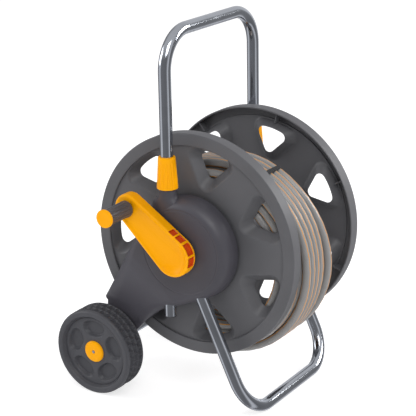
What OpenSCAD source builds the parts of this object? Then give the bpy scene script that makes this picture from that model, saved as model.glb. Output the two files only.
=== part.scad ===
// Garden hose reel cart: a winding reel between two side mouldings, carried by
// a bent tube foot, a telescopic tube handle and two wheels.
// Every shape is drawn round the reel's axis (X, crank at -X, foot at -Y), and
// placed() lifts it so that the cart stands on Z = 0, centred in plan.

/* [Reel] */
// Diameter of the two flanges
flange_d = 400; // [340:5:480]
// Distance between the flanges' outer faces
reel_w = 234; // [195:1:285]
// Depth of each flange's rim
rim_depth = 24; // [20:1:28]
// Width of the flat ring round each flange
ring_w = 22; // [18:1:26]
// How far the flange's face lies behind its ring
face_step = 4; // [3:0.5:5]
// Wall of the flanges and the drum
reel_wall = 3; // [2.4:0.2:3.6]
// Number of openings in each flange
opening_count = 7; // [5:1:7]
// Diameter of the drum that the hose winds on
drum_d = 148; // [124:2:170]
// Diameter of the spindles that carry the reel
spindle_d = 28; // [24:0.5:29]

/* [Frame] */
// Outer diameter of the steel tubes
tube_d = 22; // [18:0.5:26]
// Wall of the steel tubes
tube_wall = 1.5; // [1.2:0.1:2]
// Gap between the ground and the flanges
ground_gap = 95; // [80:1:115]
// Inner radius of the tube bends, to the tube's centre line
bend_r = 65; // [55:1:75]
// How far in front of the reel's axis the foot bar lies
foot_forward = 127; // [110:1:150]
// Lean of the foot's legs from the vertical
foot_lean = 24.8; // [21:0.2:29]
// Height of the raised handle bar above the flanges
handle_rise = 172; // [145:1:206]
// How far the handle's legs stand behind the reel's axis
handle_back = 32; // [32:0.5:38]
// How far the raised handle's legs reach below the axis
handle_tail = 128; // [118:1:150]

/* [Side mouldings] */
// Radius of the round boss on each side moulding
boss_r = 94; // [84:1:108]
// Radius of the flat face of the boss
boss_face_r = 75; // [66:1:80]
// Depth of the side mouldings without their covers
shell_depth = 37.5; // [36:0.5:44]
// Wall of the side mouldings
shell_wall = 2.5; // [2:0.1:3]
// Thickness of the inner covers
cover_t = 2.5; // [2:0.1:3]
// Gap between the flanges' rings and the inner covers
cover_gap = 2; // [2:0.5:4]
// Height of the bottom of each collar above the axis
collar_base = 107; // [104:1:125]
// Height of the collars
collar_h = 56; // [48:1:60]
// Diameter of the collars at the bottom
collar_d = 37; // [36:0.5:42]
// Diameter of the collars at the top
collar_top_d = 29.5; // [29:0.5:34]

/* [Wheels] */
// Diameter of the wheels
wheel_d = 160; // [134:1:192]
// Width of the wheels
wheel_w = 50; // [42:1:60]
// How far behind the reel's axis the axle lies
axle_back = 177; // [165:1:200]
// Diameter of the axle tube
axle_d = 19; // [16:0.5:22]
// Diameter of the hub caps
hub_cap_d = 40; // [34:1:46]

/* [Crank] */
// Distance from the reel's axis to the grip's axis
crank_throw = 115; // [96:1:138]
// Angle of the crank above the horizontal, towards the rear
crank_angle = 39.4; // [0:0.1:360]
// Radius of the crank arm round the spindle
arm_hub_r = 36; // [32:0.5:42]
// Radius of the crank arm round the grip
arm_tip_r = 25; // [22:0.5:29]
// Depth of the crank arm
arm_depth = 22; // [19:0.5:26]
// Diameter of the grip
grip_d = 30; // [26:0.5:35]
// Length of the grip without its cap
grip_len = 59; // [50:1:70]
// Diameter of the pin that the grip turns on
pin_d = 10; // [8:0.5:12]

/* [Hose] */
// Outer diameter of the hose
hose_d = 15; // [12.5:0.5:18]
// Outer radius of the coil
coil_r = 177.5; // [160:0.5:190]
// Radial thickness of the coil
coil_t = 61; // [50:1:64]
// Width of the coil along the reel
coil_w = 108.5; // [90:0.5:115]
// Gap between the coil and the rim of the crank side flange
coil_gap = 0.5; // [0.5:0.5:6]
// Width of the strap that ties the coil
strap_w = 9; // [7:0.5:14]

/* [Water inlet] */
// Diameter of the inlet's nose
nose_d = 17; // [15:0.1:19]
// Length of the inlet's nose
nose_len = 14; // [12:0.5:18]
// Bore of the water way
water_d = 9; // [7:0.5:10]

/* [Hidden] */

round_fn = 96;
small_fn = 32;
joint_gap = 0.3;
run_gap = 0.06;
seat_gap = 0.1;
cut = 1;

tube_r = tube_d / 2;
flange_r = flange_d / 2;
drum_r = drum_d / 2;
spindle_r = spindle_d / 2;
wheel_r = wheel_d / 2;
axle_r = axle_d / 2;
pin_r = pin_d / 2;
hose_r = hose_d / 2;

// Distances along X from the middle of the reel
ring_x = reel_w / 2;
face_x = ring_x - face_step;
face_in_x = face_x - reel_wall;
rim_in_x = ring_x - rim_depth;
cover_x = ring_x + cover_gap;
shell_x = cover_x + cover_t;
shell_out_x = shell_x + shell_depth;
leg_x = shell_out_x - shell_wall - 2 - tube_r;
wheel_gap = 3;
arm_plate_t = 13;
arm_plate_x = shell_x + arm_plate_t;
wheel_in_x = arm_plate_x + wheel_gap;
wheel_out_x = wheel_in_x + wheel_w;
crank_in_x = shell_out_x + 6;
crank_out_x = crank_in_x + arm_depth;
grip_in_x = crank_out_x + 1;
grip_end_x = grip_in_x + grip_len;
grip_cap_t = 5;
grip_tip_x = grip_end_x + grip_cap_t;

// Heights from the reel's axis
axis_h = flange_r + ground_gap;
ground_z = -axis_h;
foot_z = ground_z + tube_r;
handle_z = flange_r + handle_rise;
axle_z = ground_z + wheel_r;
collar_top = collar_base + collar_h;

// Water inlet, outwards from the side moulding
inlet_plate_t = 4;
inlet_hex_t = 10;
inlet_hex_r = 15;
inlet_groove_t = 4;
inlet_plate_x = shell_out_x + inlet_plate_t;
inlet_hex_x = inlet_plate_x + inlet_hex_t;
inlet_tip_x = inlet_hex_x + inlet_groove_t + nose_len;

// The cart's middle in plan, so that its box is centred on the origin
mid_x = (max(inlet_tip_x, wheel_out_x) - grip_tip_x) / 2;
mid_y = (axle_back + wheel_r - flange_r) / 2;

// The coil hangs on the drum, so its centre lies below and in front of the axis
coil_in_r = coil_r - coil_t;
coil_drop = coil_in_r - drum_r - 2;
coil_dir = 225;
coil_y = coil_drop * cos(coil_dir);
coil_z = coil_drop * sin(coil_dir);
coil_x0 = -rim_in_x + coil_gap;
coil_x1 = coil_x0 + coil_w;

function polar(r, a) = [r * cos(a), r * sin(a)];
function arc(r, a0, a1, n, c = [0, 0]) =
  [for (i = [0:n]) c + polar(r, a0 + (a1 - a0) * i / n)];

module placed() {
  translate([-mid_x, -mid_y, axis_h]) children();
}

// Extrudes a (Y, Z) outline along X
module along_x(x0, x1) {
  translate([x0, 0, 0]) rotate([90, 0, 90]) linear_extrude(x1 - x0) children();
}

// Turns an outline of (radius, X) points round the X axis
module turned_x(fn = round_fn) {
  rotate([0, 90, 0]) rotate_extrude($fn = fn) children();
}

module rod_x(x0, x1, r, fn = round_fn) {
  translate([x0, 0, 0]) rotate([0, 90, 0]) cylinder(h = x1 - x0, r = r, $fn = fn);
}

module ring_of(x0, x1, r_out, r_in, fn = round_fn) {
  difference() {
    rod_x(x0, x1, r_out, fn);
    rod_x(x0 - cut, x1 + cut, r_in, fn);
  }
}

// Draws its children on the right, and mirrors them for the left
module sided(side) {
  if (side > 0) children();
  else mirror([1, 0, 0]) children();
}

module at_yz(p) {
  translate([0, p[0], p[1]]) children();
}

// ---- Reel ----

opening_in_r = boss_r + 10;
opening_out_r = flange_r - ring_w;
opening_corner_r = 16;
opening_mid_r = (opening_in_r + opening_out_r) / 2 + 14;
opening_half = 70 / opening_count;
opening_shrink = 0.61;
opening_depth = face_x - rim_in_x - 2;
hub_hole_r = spindle_r + seat_gap;
spindle_base_r = spindle_r + 6;
spindle_base_t = 5;
drum_screw_count = 6;
drum_screw_r = 1.75;
drum_screw_pcr = drum_r - 9;
rib_t = 2;
rim_edge_r = 2;

// Rounded triangle of one opening: its apex is towards the axis, and its outer
// side is an arc round the axis
function opening_outline(grow) =
  let (
    r = opening_corner_r + grow,
    apex = [opening_in_r + opening_corner_r - opening_mid_r, 0],
    outer_r = opening_out_r - 1,
    base = polar(outer_r - opening_corner_r, opening_half) - [opening_mid_r, 0],
    side = atan2(base[1] - apex[1], base[0] - apex[0]) + 90
  )
  concat(
    arc(r, side, 360 - side, 12, apex),
    arc(r, -side, -opening_half - 6, 10, [base[0], -base[1]]),
    arc(outer_r + grow, -opening_half, opening_half, 8, [-opening_mid_r, 0]),
    arc(r, opening_half + 6, side, 10, base)
  );

function funnel_scale(depth) =
  1 - (1 - opening_shrink) * depth / opening_depth;

// One opening's funnel, from start to end behind the flange's face
module funnel(start, end, grow) {
  translate([face_x - start, 0, 0]) rotate([90, 0, -90])
    linear_extrude(height = end - start, scale = funnel_scale(end) / funnel_scale(start))
      scale(funnel_scale(start)) mirror([1, 0]) polygon(opening_outline(grow));
}

module at_openings() {
  for (i = [0:opening_count - 1]) {
    rotate([360 * i / opening_count, 0, 0]) translate([0, opening_mid_r, 0]) children();
  }
}

module at_drum_screws() {
  for (i = [0:drum_screw_count - 1]) {
    at_yz(polar(drum_screw_pcr, 360 * (i + 0.5) / drum_screw_count)) children();
  }
}

module flange() {
  difference() {
    union() {
      turned_x() polygon([
        [hub_hole_r, face_in_x],
        [hub_hole_r, face_x],
        [opening_out_r, face_x],
        [opening_out_r + 1, ring_x],
        [flange_r - rim_edge_r, ring_x],
        [flange_r, ring_x - rim_edge_r],
        [flange_r, rim_in_x],
        [flange_r - reel_wall, rim_in_x],
        [flange_r - reel_wall, ring_x - reel_wall],
        [opening_out_r + reel_wall, ring_x - reel_wall],
        [opening_out_r + reel_wall, face_in_x]
      ]);
      at_openings() funnel(reel_wall / 3, opening_depth, reel_wall);
      for (i = [0:opening_count - 1]) {
        rotate([360 * i / opening_count, 0, 0])
          translate([rim_in_x + 4, opening_out_r, -rib_t / 2])
            cube([ring_x - rim_in_x - 6, ring_w - 1, rib_t]);
      }
    }
    at_openings() funnel(-cut, opening_depth + cut, 0);
    at_drum_screws() rod_x(face_in_x - cut, face_x + cut, drum_screw_r + seat_gap, small_fn);
  }
}

module flange_left() color("dimgray") placed() sided(-1) flange();

module flange_right() color("dimgray") placed() sided(1) flange();

outlet_x = -24.6;
outlet_dir = -120;
outlet_r = 9;
outlet_in = drum_r - 12;
hose_bend_r = drum_r + hose_r + 12.5;

module drum() {
  color("dimgray") placed() difference() {
    union() {
      ring_of(-face_in_x, face_in_x, drum_r, drum_r - reel_wall);
      for (side = [-1, 1]) {
        sided(side) at_drum_screws() {
          rod_x(face_in_x - 22, face_in_x, drum_r - drum_screw_pcr - 1, small_fn);
        }
      }
    }
    for (side = [-1, 1]) {
      sided(side) at_drum_screws() {
        rod_x(face_in_x - 20, face_in_x + cut, drum_screw_r + run_gap, small_fn);
      }
    }
    outlet_spigot(outlet_r + seat_gap, cut);
  }
}

module drum_screws() {
  color("silver") placed() for (side = [-1, 1]) {
    sided(side) at_drum_screws() {
      rod_x(face_in_x - 18, face_x, drum_screw_r, small_fn);
      rod_x(face_x, face_x + 2.5, drum_screw_r * 2.2, small_fn);
    }
  }
}

// Radial spigot through the drum's wall, seen from the reel's axis
module outlet_spigot(r, more) {
  translate([outlet_x, 0, 0]) rotate([outlet_dir, 0, 0]) rotate([-90, 0, 0])
    translate([0, 0, outlet_in - more])
      cylinder(h = hose_bend_r - outlet_in + 2 * more, r = r, $fn = 48);
}

water_r = water_d / 2;
pipe_r = water_r + 2;
bolt_r = 3;
spindle_bore_r = pipe_r + run_gap;
crank_socket_x = crank_in_x + 7;
bolt_end_x = crank_socket_x + 6;

module spindle(end_x, bore) {
  difference() {
    union() {
      rod_x(face_in_x - spindle_base_t, face_in_x, spindle_base_r);
      rod_x(face_in_x - spindle_base_t, end_x, spindle_r);
    }
    rod_x(face_in_x - spindle_base_t - cut, end_x + cut, bore);
  }
}

module spindle_left() {
  color("dimgray") placed() sided(-1) spindle(crank_socket_x, bolt_r + seat_gap);
}

module spindle_right() {
  color("dimgray") placed() spindle(shell_out_x - 5, spindle_bore_r);
}

module crank_bolt() {
  color("silver") placed() sided(-1) {
    rod_x(face_in_x - spindle_base_t, bolt_end_x, bolt_r, small_fn);
    rod_x(face_in_x - spindle_base_t - 4, face_in_x - spindle_base_t, bolt_r * 1.8, small_fn);
  }
}

// ---- Crank ----

grip_at = polar(crank_throw, crank_angle);
arm_rim_t = 7;
arm_floor_x = crank_out_x - 8;
arm_wall = 3;
arm_skin_x = arm_floor_x - arm_wall;
window_count = 4;
window_step = 29;
window_start = crank_angle + 62;
window_size = 16;

// Outline of the arm: two arcs joined by their common tangents
function arm_outline(inset) =
  let (spread = acos((arm_hub_r - arm_tip_r) / crank_throw))
  concat(
    arc(arm_hub_r - inset, crank_angle + spread, crank_angle + 360 - spread, 48),
    arc(arm_tip_r - inset, crank_angle - spread, crank_angle + spread, 32, grip_at)
  );

module crank_arm() {
  color("orange") placed() sided(-1) difference() {
    union() {
      difference() {
        along_x(crank_in_x, crank_out_x) polygon(arm_outline(0));
        along_x(arm_floor_x, crank_out_x + cut) polygon(arm_outline(arm_rim_t));
        along_x(crank_in_x - cut, arm_skin_x) polygon(arm_outline(arm_wall));
      }
      rod_x(crank_in_x, arm_floor_x, spindle_r + 4);
      at_yz(grip_at) rod_x(crank_in_x, crank_out_x, grip_d / 2 + 1);
    }
    rod_x(crank_in_x - cut, crank_socket_x, spindle_r + seat_gap);
    rod_x(crank_in_x, bolt_end_x + seat_gap, bolt_r + run_gap, small_fn);
    at_yz(grip_at) rod_x(crank_in_x - cut, crank_out_x + cut, pin_r + run_gap);
    at_yz(grip_at) rod_x(crank_in_x - cut, crank_in_x + 4, pin_r + 4);
    for (i = [0:window_count - 1]) {
      rotate([window_start + window_step * i, 0, 0])
        translate([arm_floor_x + 2, arm_hub_r - arm_rim_t + 1.5, -window_size / 2])
          cube([4, arm_rim_t * 2, window_size]);
    }
  }
}

module grip_pin() {
  color("silver") placed() sided(-1) at_yz(grip_at) {
    rod_x(crank_in_x, grip_end_x - 2, pin_r);
    rod_x(crank_in_x + 0.5, crank_in_x + 4, pin_r + 3.5);
  }
}

clip_t = 2;
clip_x = grip_end_x - 6;

module grip_clip() {
  color("silver") placed() sided(-1) at_yz(grip_at) {
    ring_of(clip_x, clip_x + clip_t, pin_r + 2.5, pin_r, small_fn);
  }
}

module grip_sleeve() {
  color("dimgray") placed() sided(-1) at_yz(grip_at) difference() {
    rod_x(grip_in_x, grip_end_x, grip_d / 2);
    rod_x(grip_in_x - cut, grip_end_x + cut, pin_r + run_gap);
    rod_x(clip_x - joint_gap, grip_end_x + cut, pin_r + 3);
  }
}

module grip_cap() {
  color("orange") placed() sided(-1) at_yz(grip_at) {
    rod_x(grip_end_x, grip_tip_x, grip_d / 2 + 1);
    ring_of(clip_x + clip_t + joint_gap, grip_end_x, pin_r + 3, pin_r + 1.5);
  }
}

// ---- Water way inside the drum ----

feed_bend_r = 18;

module feed_shape(r, more) {
  rotate([outlet_dir, 0, 0]) {
    rotate([-90, 0, 0]) rod_x(outlet_x + feed_bend_r, face_in_x - spindle_base_t + more, r, 48);
    translate([outlet_x + feed_bend_r, feed_bend_r, 0]) rotate([0, 0, 180])
      rotate_extrude(angle = 90, $fn = 48) translate([feed_bend_r, 0]) circle(r, $fn = 48);
    translate([outlet_x, feed_bend_r, 0]) rotate([-90, 0, 0]) rotate([0, 0, 180])
      cylinder(h = outlet_in - feed_bend_r + more, r = r, $fn = 48);
  }
}

module feed_pipe() {
  color("black") placed() difference() {
    feed_shape(pipe_r, 0);
    feed_shape(water_r, cut);
  }
}

nut_len = 18;
elbow_len = 9;
nut_start = elbow_len;

// Lies along the hose where it leaves the drum: X is the reel's, Z the hose's way
module at_hose_start() {
  translate([outlet_x, 0, 0]) rotate([outlet_dir, 0, 0])
    translate([0, hose_bend_r, 0]) children();
}

module drum_outlet() {
  color("dimgray") placed() difference() {
    union() {
      outlet_spigot(outlet_r, 0);
      at_hose_start() translate([0, 0, -elbow_len]) cylinder(h = 2 * elbow_len, r = outlet_r, $fn = 48);
      at_hose_start() cylinder(h = nut_start + nut_len, r = hose_r - 1.6, $fn = 48);
    }
    at_hose_start() cylinder(h = nut_start + nut_len + cut, r = water_r, $fn = 48);
    translate([outlet_x, 0, 0]) rotate([outlet_dir, 0, 0]) rotate([-90, 0, 0])
      translate([0, 0, outlet_in - cut])
        cylinder(h = hose_bend_r - outlet_in + cut, r = water_r, $fn = 48);
  }
}

module outlet_nut() {
  color("orange") placed() at_hose_start() translate([0, 0, nut_start]) difference() {
    cylinder(h = nut_len, r = hose_r + 3, $fn = 48);
    translate([0, 0, -cut]) cylinder(h = nut_len + 2 * cut, r = hose_r - 1.6 + run_gap, $fn = 48);
  }
}

// ---- Hose ----

// The first part of the hose follows the drum from the outlet to the coil
tail_start = outlet_dir + atan((nut_start + nut_len) / hose_bend_r);
tail_end = -22;
tail_r = norm([hose_bend_r, nut_start + nut_len]);

module hose_tail() {
  color("lightgray") placed() translate([outlet_x, 0, 0]) rotate([tail_start, 0, 0])
    rotate([90, 0, 90]) rotate_extrude(angle = tail_end - tail_start, $fn = round_fn)
      translate([tail_r, 0]) circle(hose_r, $fn = small_fn);
}

module hose_coil() {
  color("lightgray") placed() at_yz([coil_y, coil_z]) turned_x() polygon([
    [coil_in_r, coil_x0 + 4],
    [coil_in_r, coil_x1 - 4],
    [coil_in_r + 4, coil_x1],
    [coil_r - 4, coil_x1],
    [coil_r, coil_x1 - 4],
    [coil_r, coil_x0 + 4],
    [coil_r - 4, coil_x0],
    [coil_in_r + 4, coil_x0]
  ]);
}

// The last part of the hose steps off the coil's side, to its connector
END_ROUTE = [
  [12, 16, -192], [17, 44, -182], [22, 70, -167], [26, 92, -148],
  [29, 111, -126], [31, 126, -100], [31, 134, -81]
];
end_sides = 12;

function unit(v) = v / norm(v);
function route_way(p, i) =
  unit(p[min(i + 1, len(p) - 1)] - p[max(i - 1, 0)]);
function route_ring(p, i, r, n) =
  let (
    t = route_way(p, i),
    a = unit(cross(t, [1, 0, 0])),
    b = cross(t, a)
  )
  [for (k = [0:n - 1]) p[i] + r * (cos(360 * k / n) * a + sin(360 * k / n) * b)];

// Sweeps a round tube along a list of points
module swept(p, r, n) {
  last = len(p) - 1;
  points = [for (i = [0:last]) for (q = route_ring(p, i, r, n)) q];
  walls = [for (i = [0:last - 1]) for (k = [0:n - 1])
    let (a = i * n + k, b = i * n + (k + 1) % n)
    each [[a, b, b + n], [a, b + n, a + n]]];
  polyhedron(points = points, faces = concat(
    walls,
    [[for (k = [n - 1:-1:0]) k]],
    [[for (k = [0:n - 1]) last * n + k]]
  ), convexity = 4);
}

module hose_end() {
  color("lightgray") placed() swept(END_ROUTE, hose_r, end_sides);
}

connector_len = 46;
connector_r = 14;

module hose_connector() {
  tip = END_ROUTE[len(END_ROUTE) - 1];
  way = route_way(END_ROUTE, len(END_ROUTE) - 1);
  color("orange") placed() translate(tip) rotate([-atan2(way[1], way[2]), 0, 0]) difference() {
    union() {
      cylinder(h = 14, r = connector_r - 2, $fn = 48);
      translate([0, 0, 14]) cylinder(h = connector_len - 14, r = connector_r, $fn = 48);
    }
    translate([0, 0, connector_len - 18]) cylinder(h = 18 + cut, r = nose_d / 2 + 0.25, $fn = 48);
    translate([0, 0, 8]) cylinder(h = connector_len, r = water_r, $fn = 48);
  }
}

strap_dir = 117;
strap_t = 1.2;
strap_gap = 0.2;

module strap_block(grow, w) {
  translate([coil_x0 - grow, coil_in_r - grow, -w / 2])
    cube([coil_w + 2 * grow, coil_t + 2 * grow, w]);
}

module hose_strap() {
  color("black") placed() at_yz([coil_y, coil_z]) rotate([strap_dir, 0, 0]) difference() {
    strap_block(strap_gap + strap_t, strap_w);
    strap_block(strap_gap, strap_w + 2 * cut);
  }
}

// ---- Side mouldings ----

neck_z = boss_r - 40;
neck_r = tube_r + 2.2;
socket_r = tube_r + 3.5;
neck_low_r = min(collar_d / 2 - 2.5, shell_out_x - leg_x - 0.2);
leg_gap = 0.3;
bush_r = spindle_r + 3;
bush_len = 20;
bush_x = shell_out_x - shell_wall - bush_len;
axle_boss_r = axle_r + 7.5;
arm_tip = [axle_back + 8, axle_z + wheel_r + 7];
arm_step = [axle_back + 3, axle_z + wheel_r - 4];
arm_knee = [handle_back + 28, -boss_r - 32];
arm_heel = [axle_back - 75, axle_z + 53];
axle_at = [axle_back, axle_z];
shoulder_n = 8;
cover_screw_r = 1.75;
cover_screw_len = 10;
screw_boss_r = 4.5;
screw_boss_x = shell_out_x - 8.5;
bulge_x = shell_out_x - 1.5;
bulge_knee = arm_knee + [2, 14];
bulge_heel = arm_heel + [-8, 22];
bulge_tip = arm_tip + [-35, 18];
bulge_slope = 12.8;
bulge_flat = boss_r + 1;

// Angle at which the line from point p touches the circle c, r on the given side
function touch(p, c, r, side) =
  atan2(p[1] - c[1], p[0] - c[0]) + side * acos(r / norm(p - c));

// Direction from the boss to the axle
arm_dir = atan2(axle_z, axle_back);

// The side moulding's arm, from inside the round boss to the tip and the axle
function arm_polygon() =
  let (
    r = boss_r - 1,
    heel = touch(arm_heel, axle_at, axle_boss_r, 1)
  )
  concat(
    [[0, 0], polar(r, touch(arm_knee, [0, 0], r, -1)), arm_knee, arm_heel],
    arc(axle_boss_r, heel, 360, 12, axle_at),
    [arm_step, arm_tip, polar(r, touch(arm_tip, [0, 0], r, 1))]
  );

// The thicker part of the arm next to the boss
function bulge_polygon() =
  let (r = boss_face_r - 1)
  [[0, 0], polar(r, touch(bulge_knee, [0, 0], r, -1)), bulge_knee, bulge_heel,
   bulge_tip, polar(r, touch(bulge_tip, [0, 0], r, 1))];

// Moves each side of an outline inwards by d
function edge_normal(a, b) = let (t = unit(b - a)) [t[1], -t[0]];
function inset_path(p, d) =
  let (n = len(p))
  [for (i = [0:n - 1])
    let (
      before = edge_normal(p[(i + n - 1) % n], p[i]),
      after = edge_normal(p[i], p[(i + 1) % n])
    )
    p[i] - (before + after) * d / (1 + before * after)];

function boss_profile(inset) = concat(
  [[0, shell_x - (inset > 0 ? cut : 0)]],
  [[boss_r - inset, shell_x - (inset > 0 ? cut : 0)]],
  [for (i = [0:shoulder_n]) let (a = 90 * i / shoulder_n)
    [boss_face_r - inset + (boss_r - boss_face_r) * cos(a),
     arm_plate_x - inset + (shell_out_x - arm_plate_x) * sin(a)]],
  [[0, shell_out_x - inset]]
);

module arm_bulge(inset, x0) {
  difference() {
    along_x(x0, bulge_x - inset) polygon(inset_path(bulge_polygon(), inset));
    rotate([arm_dir, 0, 0]) translate([bulge_x - inset, bulge_flat, -2 * boss_r])
      rotate([0, 0, bulge_slope]) cube([4 * shell_depth, 4 * boss_r, 4 * boss_r]);
  }
}

module at_handle_leg() {
  translate([leg_x, handle_back, 0]) children();
}

// Foot leg's own frame: Z runs up the leg from the middle of the foot bar
module at_foot() {
  translate([0, -foot_forward, foot_z]) rotate([-foot_lean, 0, 0]) children();
}

foot_top_z = -42;
foot_leg_len = (foot_top_z - foot_z) / cos(foot_lean);
boss_screw_at = [for (a = [100, 155, 215, 10]) polar(boss_r - 10, a)];
arm_screw_at = [axle_back - 12, axle_z + 48];

module at_cover_screws() {
  for (p = concat(boss_screw_at, [arm_screw_at])) at_yz(p) children();
}

// The whole moulding as a solid, with the well that the wheel turns in
module shell_solid(inset) {
  x0 = shell_x - (inset > 0 ? cut : 0);
  difference() {
    union() {
      turned_x() polygon(boss_profile(inset));
      along_x(x0, arm_plate_x - inset) polygon(inset_path(arm_polygon(), inset));
      arm_bulge(inset, x0);
    }
    at_yz(axle_at) rod_x(arm_plate_x - inset, wheel_out_x, wheel_r + 4 + inset);
  }
}

module shell(has_inlet) {
  difference() {
    union() {
      difference() {
        shell_solid(0);
        shell_solid(shell_wall);
      }
      ring_of(bush_x, shell_out_x - 0.5, bush_r + 2.5, bush_r);
      at_yz(axle_at) rod_x(shell_x, arm_plate_x, axle_boss_r);
      for (p = boss_screw_at) at_yz(p) rod_x(shell_x, screw_boss_x, screw_boss_r, small_fn);
      at_yz(arm_screw_at) rod_x(shell_x, arm_plate_x - 1, screw_boss_r, small_fn);
      at_handle_leg() {
        translate([0, 0, neck_z]) cylinder(h = collar_base - 0.5 - neck_z, r = neck_low_r, $fn = round_fn);
        translate([0, 0, neck_z]) cylinder(h = collar_top - 14 - neck_z, r = neck_r, $fn = round_fn);
        translate([0, 0, boss_r - 10])
          cylinder(h = 12, r1 = neck_low_r + 3, r2 = neck_low_r, $fn = round_fn);
        translate([0, 0, 8 - boss_r]) cylinder(h = 30, r = socket_r, $fn = round_fn);
      }
      at_foot() translate([leg_x, 0, foot_leg_len - 28])
        cylinder(h = 30, r = socket_r, $fn = round_fn);
    }
    rod_x(bush_x, shell_out_x + cut, spindle_r + 1);
    rod_x(bush_x - cut, bush_x + bush_len, bush_r);
    at_yz(axle_at) rod_x(shell_x - cut, arm_plate_x + cut, axle_r + seat_gap);
    at_cover_screws() rod_x(shell_x - cut, shell_x + cover_screw_len + 1, cover_screw_r + run_gap, small_fn);
    at_handle_leg() translate([0, 0, -boss_r - 60])
      cylinder(h = collar_top + boss_r + 60, r = tube_r + leg_gap, $fn = round_fn);
    at_foot() translate([leg_x, 0, 0])
      cylinder(h = foot_leg_len + 0.2, r = tube_r + seat_gap, $fn = round_fn);
    at_foot_screws() rod_x(shell_x - cut, leg_x, foot_screw_r + seat_gap, small_fn);
    if (has_inlet) {
      at_inlet_screws()
        rod_x(shell_out_x - shell_wall - cut, shell_out_x + cut, inlet_screw_r + seat_gap, small_fn);
    }
  }
}

module shell_left() color("darkslategray") placed() sided(-1) shell(false);

module shell_right() color("darkslategray") placed() sided(1) shell(true);

module cover() {
  difference() {
    union() {
      along_x(cover_x, shell_x) polygon(arm_polygon());
      rod_x(cover_x, shell_x, boss_r);
    }
    rod_x(cover_x - cut, shell_x + cut, spindle_r + 2);
    at_yz(axle_at) rod_x(cover_x - cut, shell_x + cut, axle_r + seat_gap);
    at_cover_screws() rod_x(cover_x - cut, shell_x + cut, cover_screw_r + seat_gap, small_fn);
    at_foot_screws() rod_x(cover_x - cut, shell_x + cut, foot_screw_r * 2.2, small_fn);
  }
}

module cover_left() color("dimgray") placed() sided(-1) cover();

module cover_right() color("dimgray") placed() sided(1) cover();

module cover_screws() {
  color("silver") placed() for (side = [-1, 1]) {
    sided(side) at_cover_screws() {
      rod_x(cover_x, shell_x + cover_screw_len, cover_screw_r, small_fn);
      rod_x(cover_x - 1.5, cover_x, cover_screw_r * 2, small_fn);
    }
  }
}

module bush() {
  ring_of(bush_x, bush_x + bush_len, bush_r - 0.02, spindle_r + run_gap);
}

module bush_left() color("ivory") placed() sided(-1) bush();

module bush_right() color("ivory") placed() sided(1) bush();

collet_h = 8;

module collet() {
  at_handle_leg() translate([0, 0, collar_top - 14]) difference() {
    cylinder(h = collet_h, r = neck_r, $fn = round_fn);
    translate([0, 0, -cut]) cylinder(h = collet_h + 2 * cut, r = tube_r + run_gap, $fn = round_fn);
    translate([0, -1, -cut]) cube([neck_r + cut, 2, collet_h + 2 * cut]);
  }
}

module collet_left() color("ivory") placed() sided(-1) collet();

module collet_right() color("ivory") placed() sided(1) collet();

// ---- Tubes ----

// U-shaped bar: the cross bar lies along X at Z = 0 and the legs rise to len
module u_bar(r, len, more) {
  straight = leg_x - bend_r;
  rod_x(-straight, straight, r);
  for (side = [-1, 1]) {
    sided(side) {
      translate([straight, 0, bend_r]) rotate([90, 0, 0]) rotate([0, 0, -90])
        rotate_extrude(angle = 90, $fn = round_fn)
          translate([bend_r, 0]) circle(r, $fn = small_fn * 2);
      translate([leg_x, 0, bend_r]) cylinder(h = len - bend_r + more, r = r, $fn = round_fn);
    }
  }
}

module u_tube(len) {
  difference() {
    u_bar(tube_r, len, 0);
    u_bar(tube_r - tube_wall, len, cut);
  }
}

foot_screw_r = 2;

module at_foot_screws() {
  at_foot() translate([0, 0, foot_leg_len - 12]) children();
}

module foot_tube() {
  color("silver") placed() difference() {
    at_foot() u_tube(foot_leg_len);
    for (side = [-1, 1]) {
      sided(side) at_foot_screws() rod_x(shell_x, leg_x, foot_screw_r + seat_gap, small_fn);
    }
  }
}

module foot_screws() {
  color("silver") placed() for (side = [-1, 1]) {
    sided(side) at_foot_screws() {
      rod_x(shell_x - 2, leg_x - tube_r + 4, foot_screw_r, small_fn);
      rod_x(shell_x - 2, shell_x, foot_screw_r * 2, small_fn);
    }
  }
}

module handle_frame() {
  translate([0, handle_back, handle_z]) rotate([180, 0, 0]) children();
}

plug_head_t = 2;
handle_leg_len = handle_z + handle_tail - plug_head_t;

module handle_tube() {
  color("silver") placed() handle_frame() u_tube(handle_leg_len);
}

module handle_plugs() {
  color("gray") placed() for (side = [-1, 1]) {
    sided(side) handle_frame() translate([leg_x, 0, handle_leg_len]) {
      cylinder(h = plug_head_t, r = tube_r, $fn = round_fn);
      translate([0, 0, -12]) cylinder(h = 12, r = tube_r - tube_wall - run_gap, $fn = round_fn);
    }
  }
}

module collar() {
  bore = neck_r + joint_gap;
  lip_z = collar_h - 5;
  at_handle_leg() translate([0, 0, collar_base]) difference() {
    union() {
      cylinder(h = collar_h - 8, r1 = collar_d / 2, r2 = collar_top_d / 2 + 0.4, $fn = round_fn);
      translate([0, 0, collar_h - 8]) cylinder(h = 8, r = collar_top_d / 2, $fn = round_fn);
    }
    translate([0, 0, -cut]) cylinder(h = lip_z + cut, r = bore, $fn = round_fn);
    cylinder(h = collar_h + cut, r = tube_r + joint_gap, $fn = round_fn);
  }
}

module collar_left() color("orange") placed() sided(-1) collar();

module collar_right() color("orange") placed() sided(1) collar();

// ---- Axle and wheels ----

axle_end_x = wheel_out_x - 12;
retainer_r = axle_r + 2;
retainer_t = 2;
hub_r = axle_r + 7.5;
web_out_x = wheel_out_x - 8;
web_t = 7;
rim_in_r = wheel_r - 18;
pocket_count = 5;
pocket_depth = 4;
cap_x = web_out_x;
cap_t = 5;

module axle_tube() {
  color("silver") placed() at_yz(axle_at) {
    ring_of(-axle_end_x, axle_end_x, axle_r, axle_r - tube_wall);
  }
}

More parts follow.
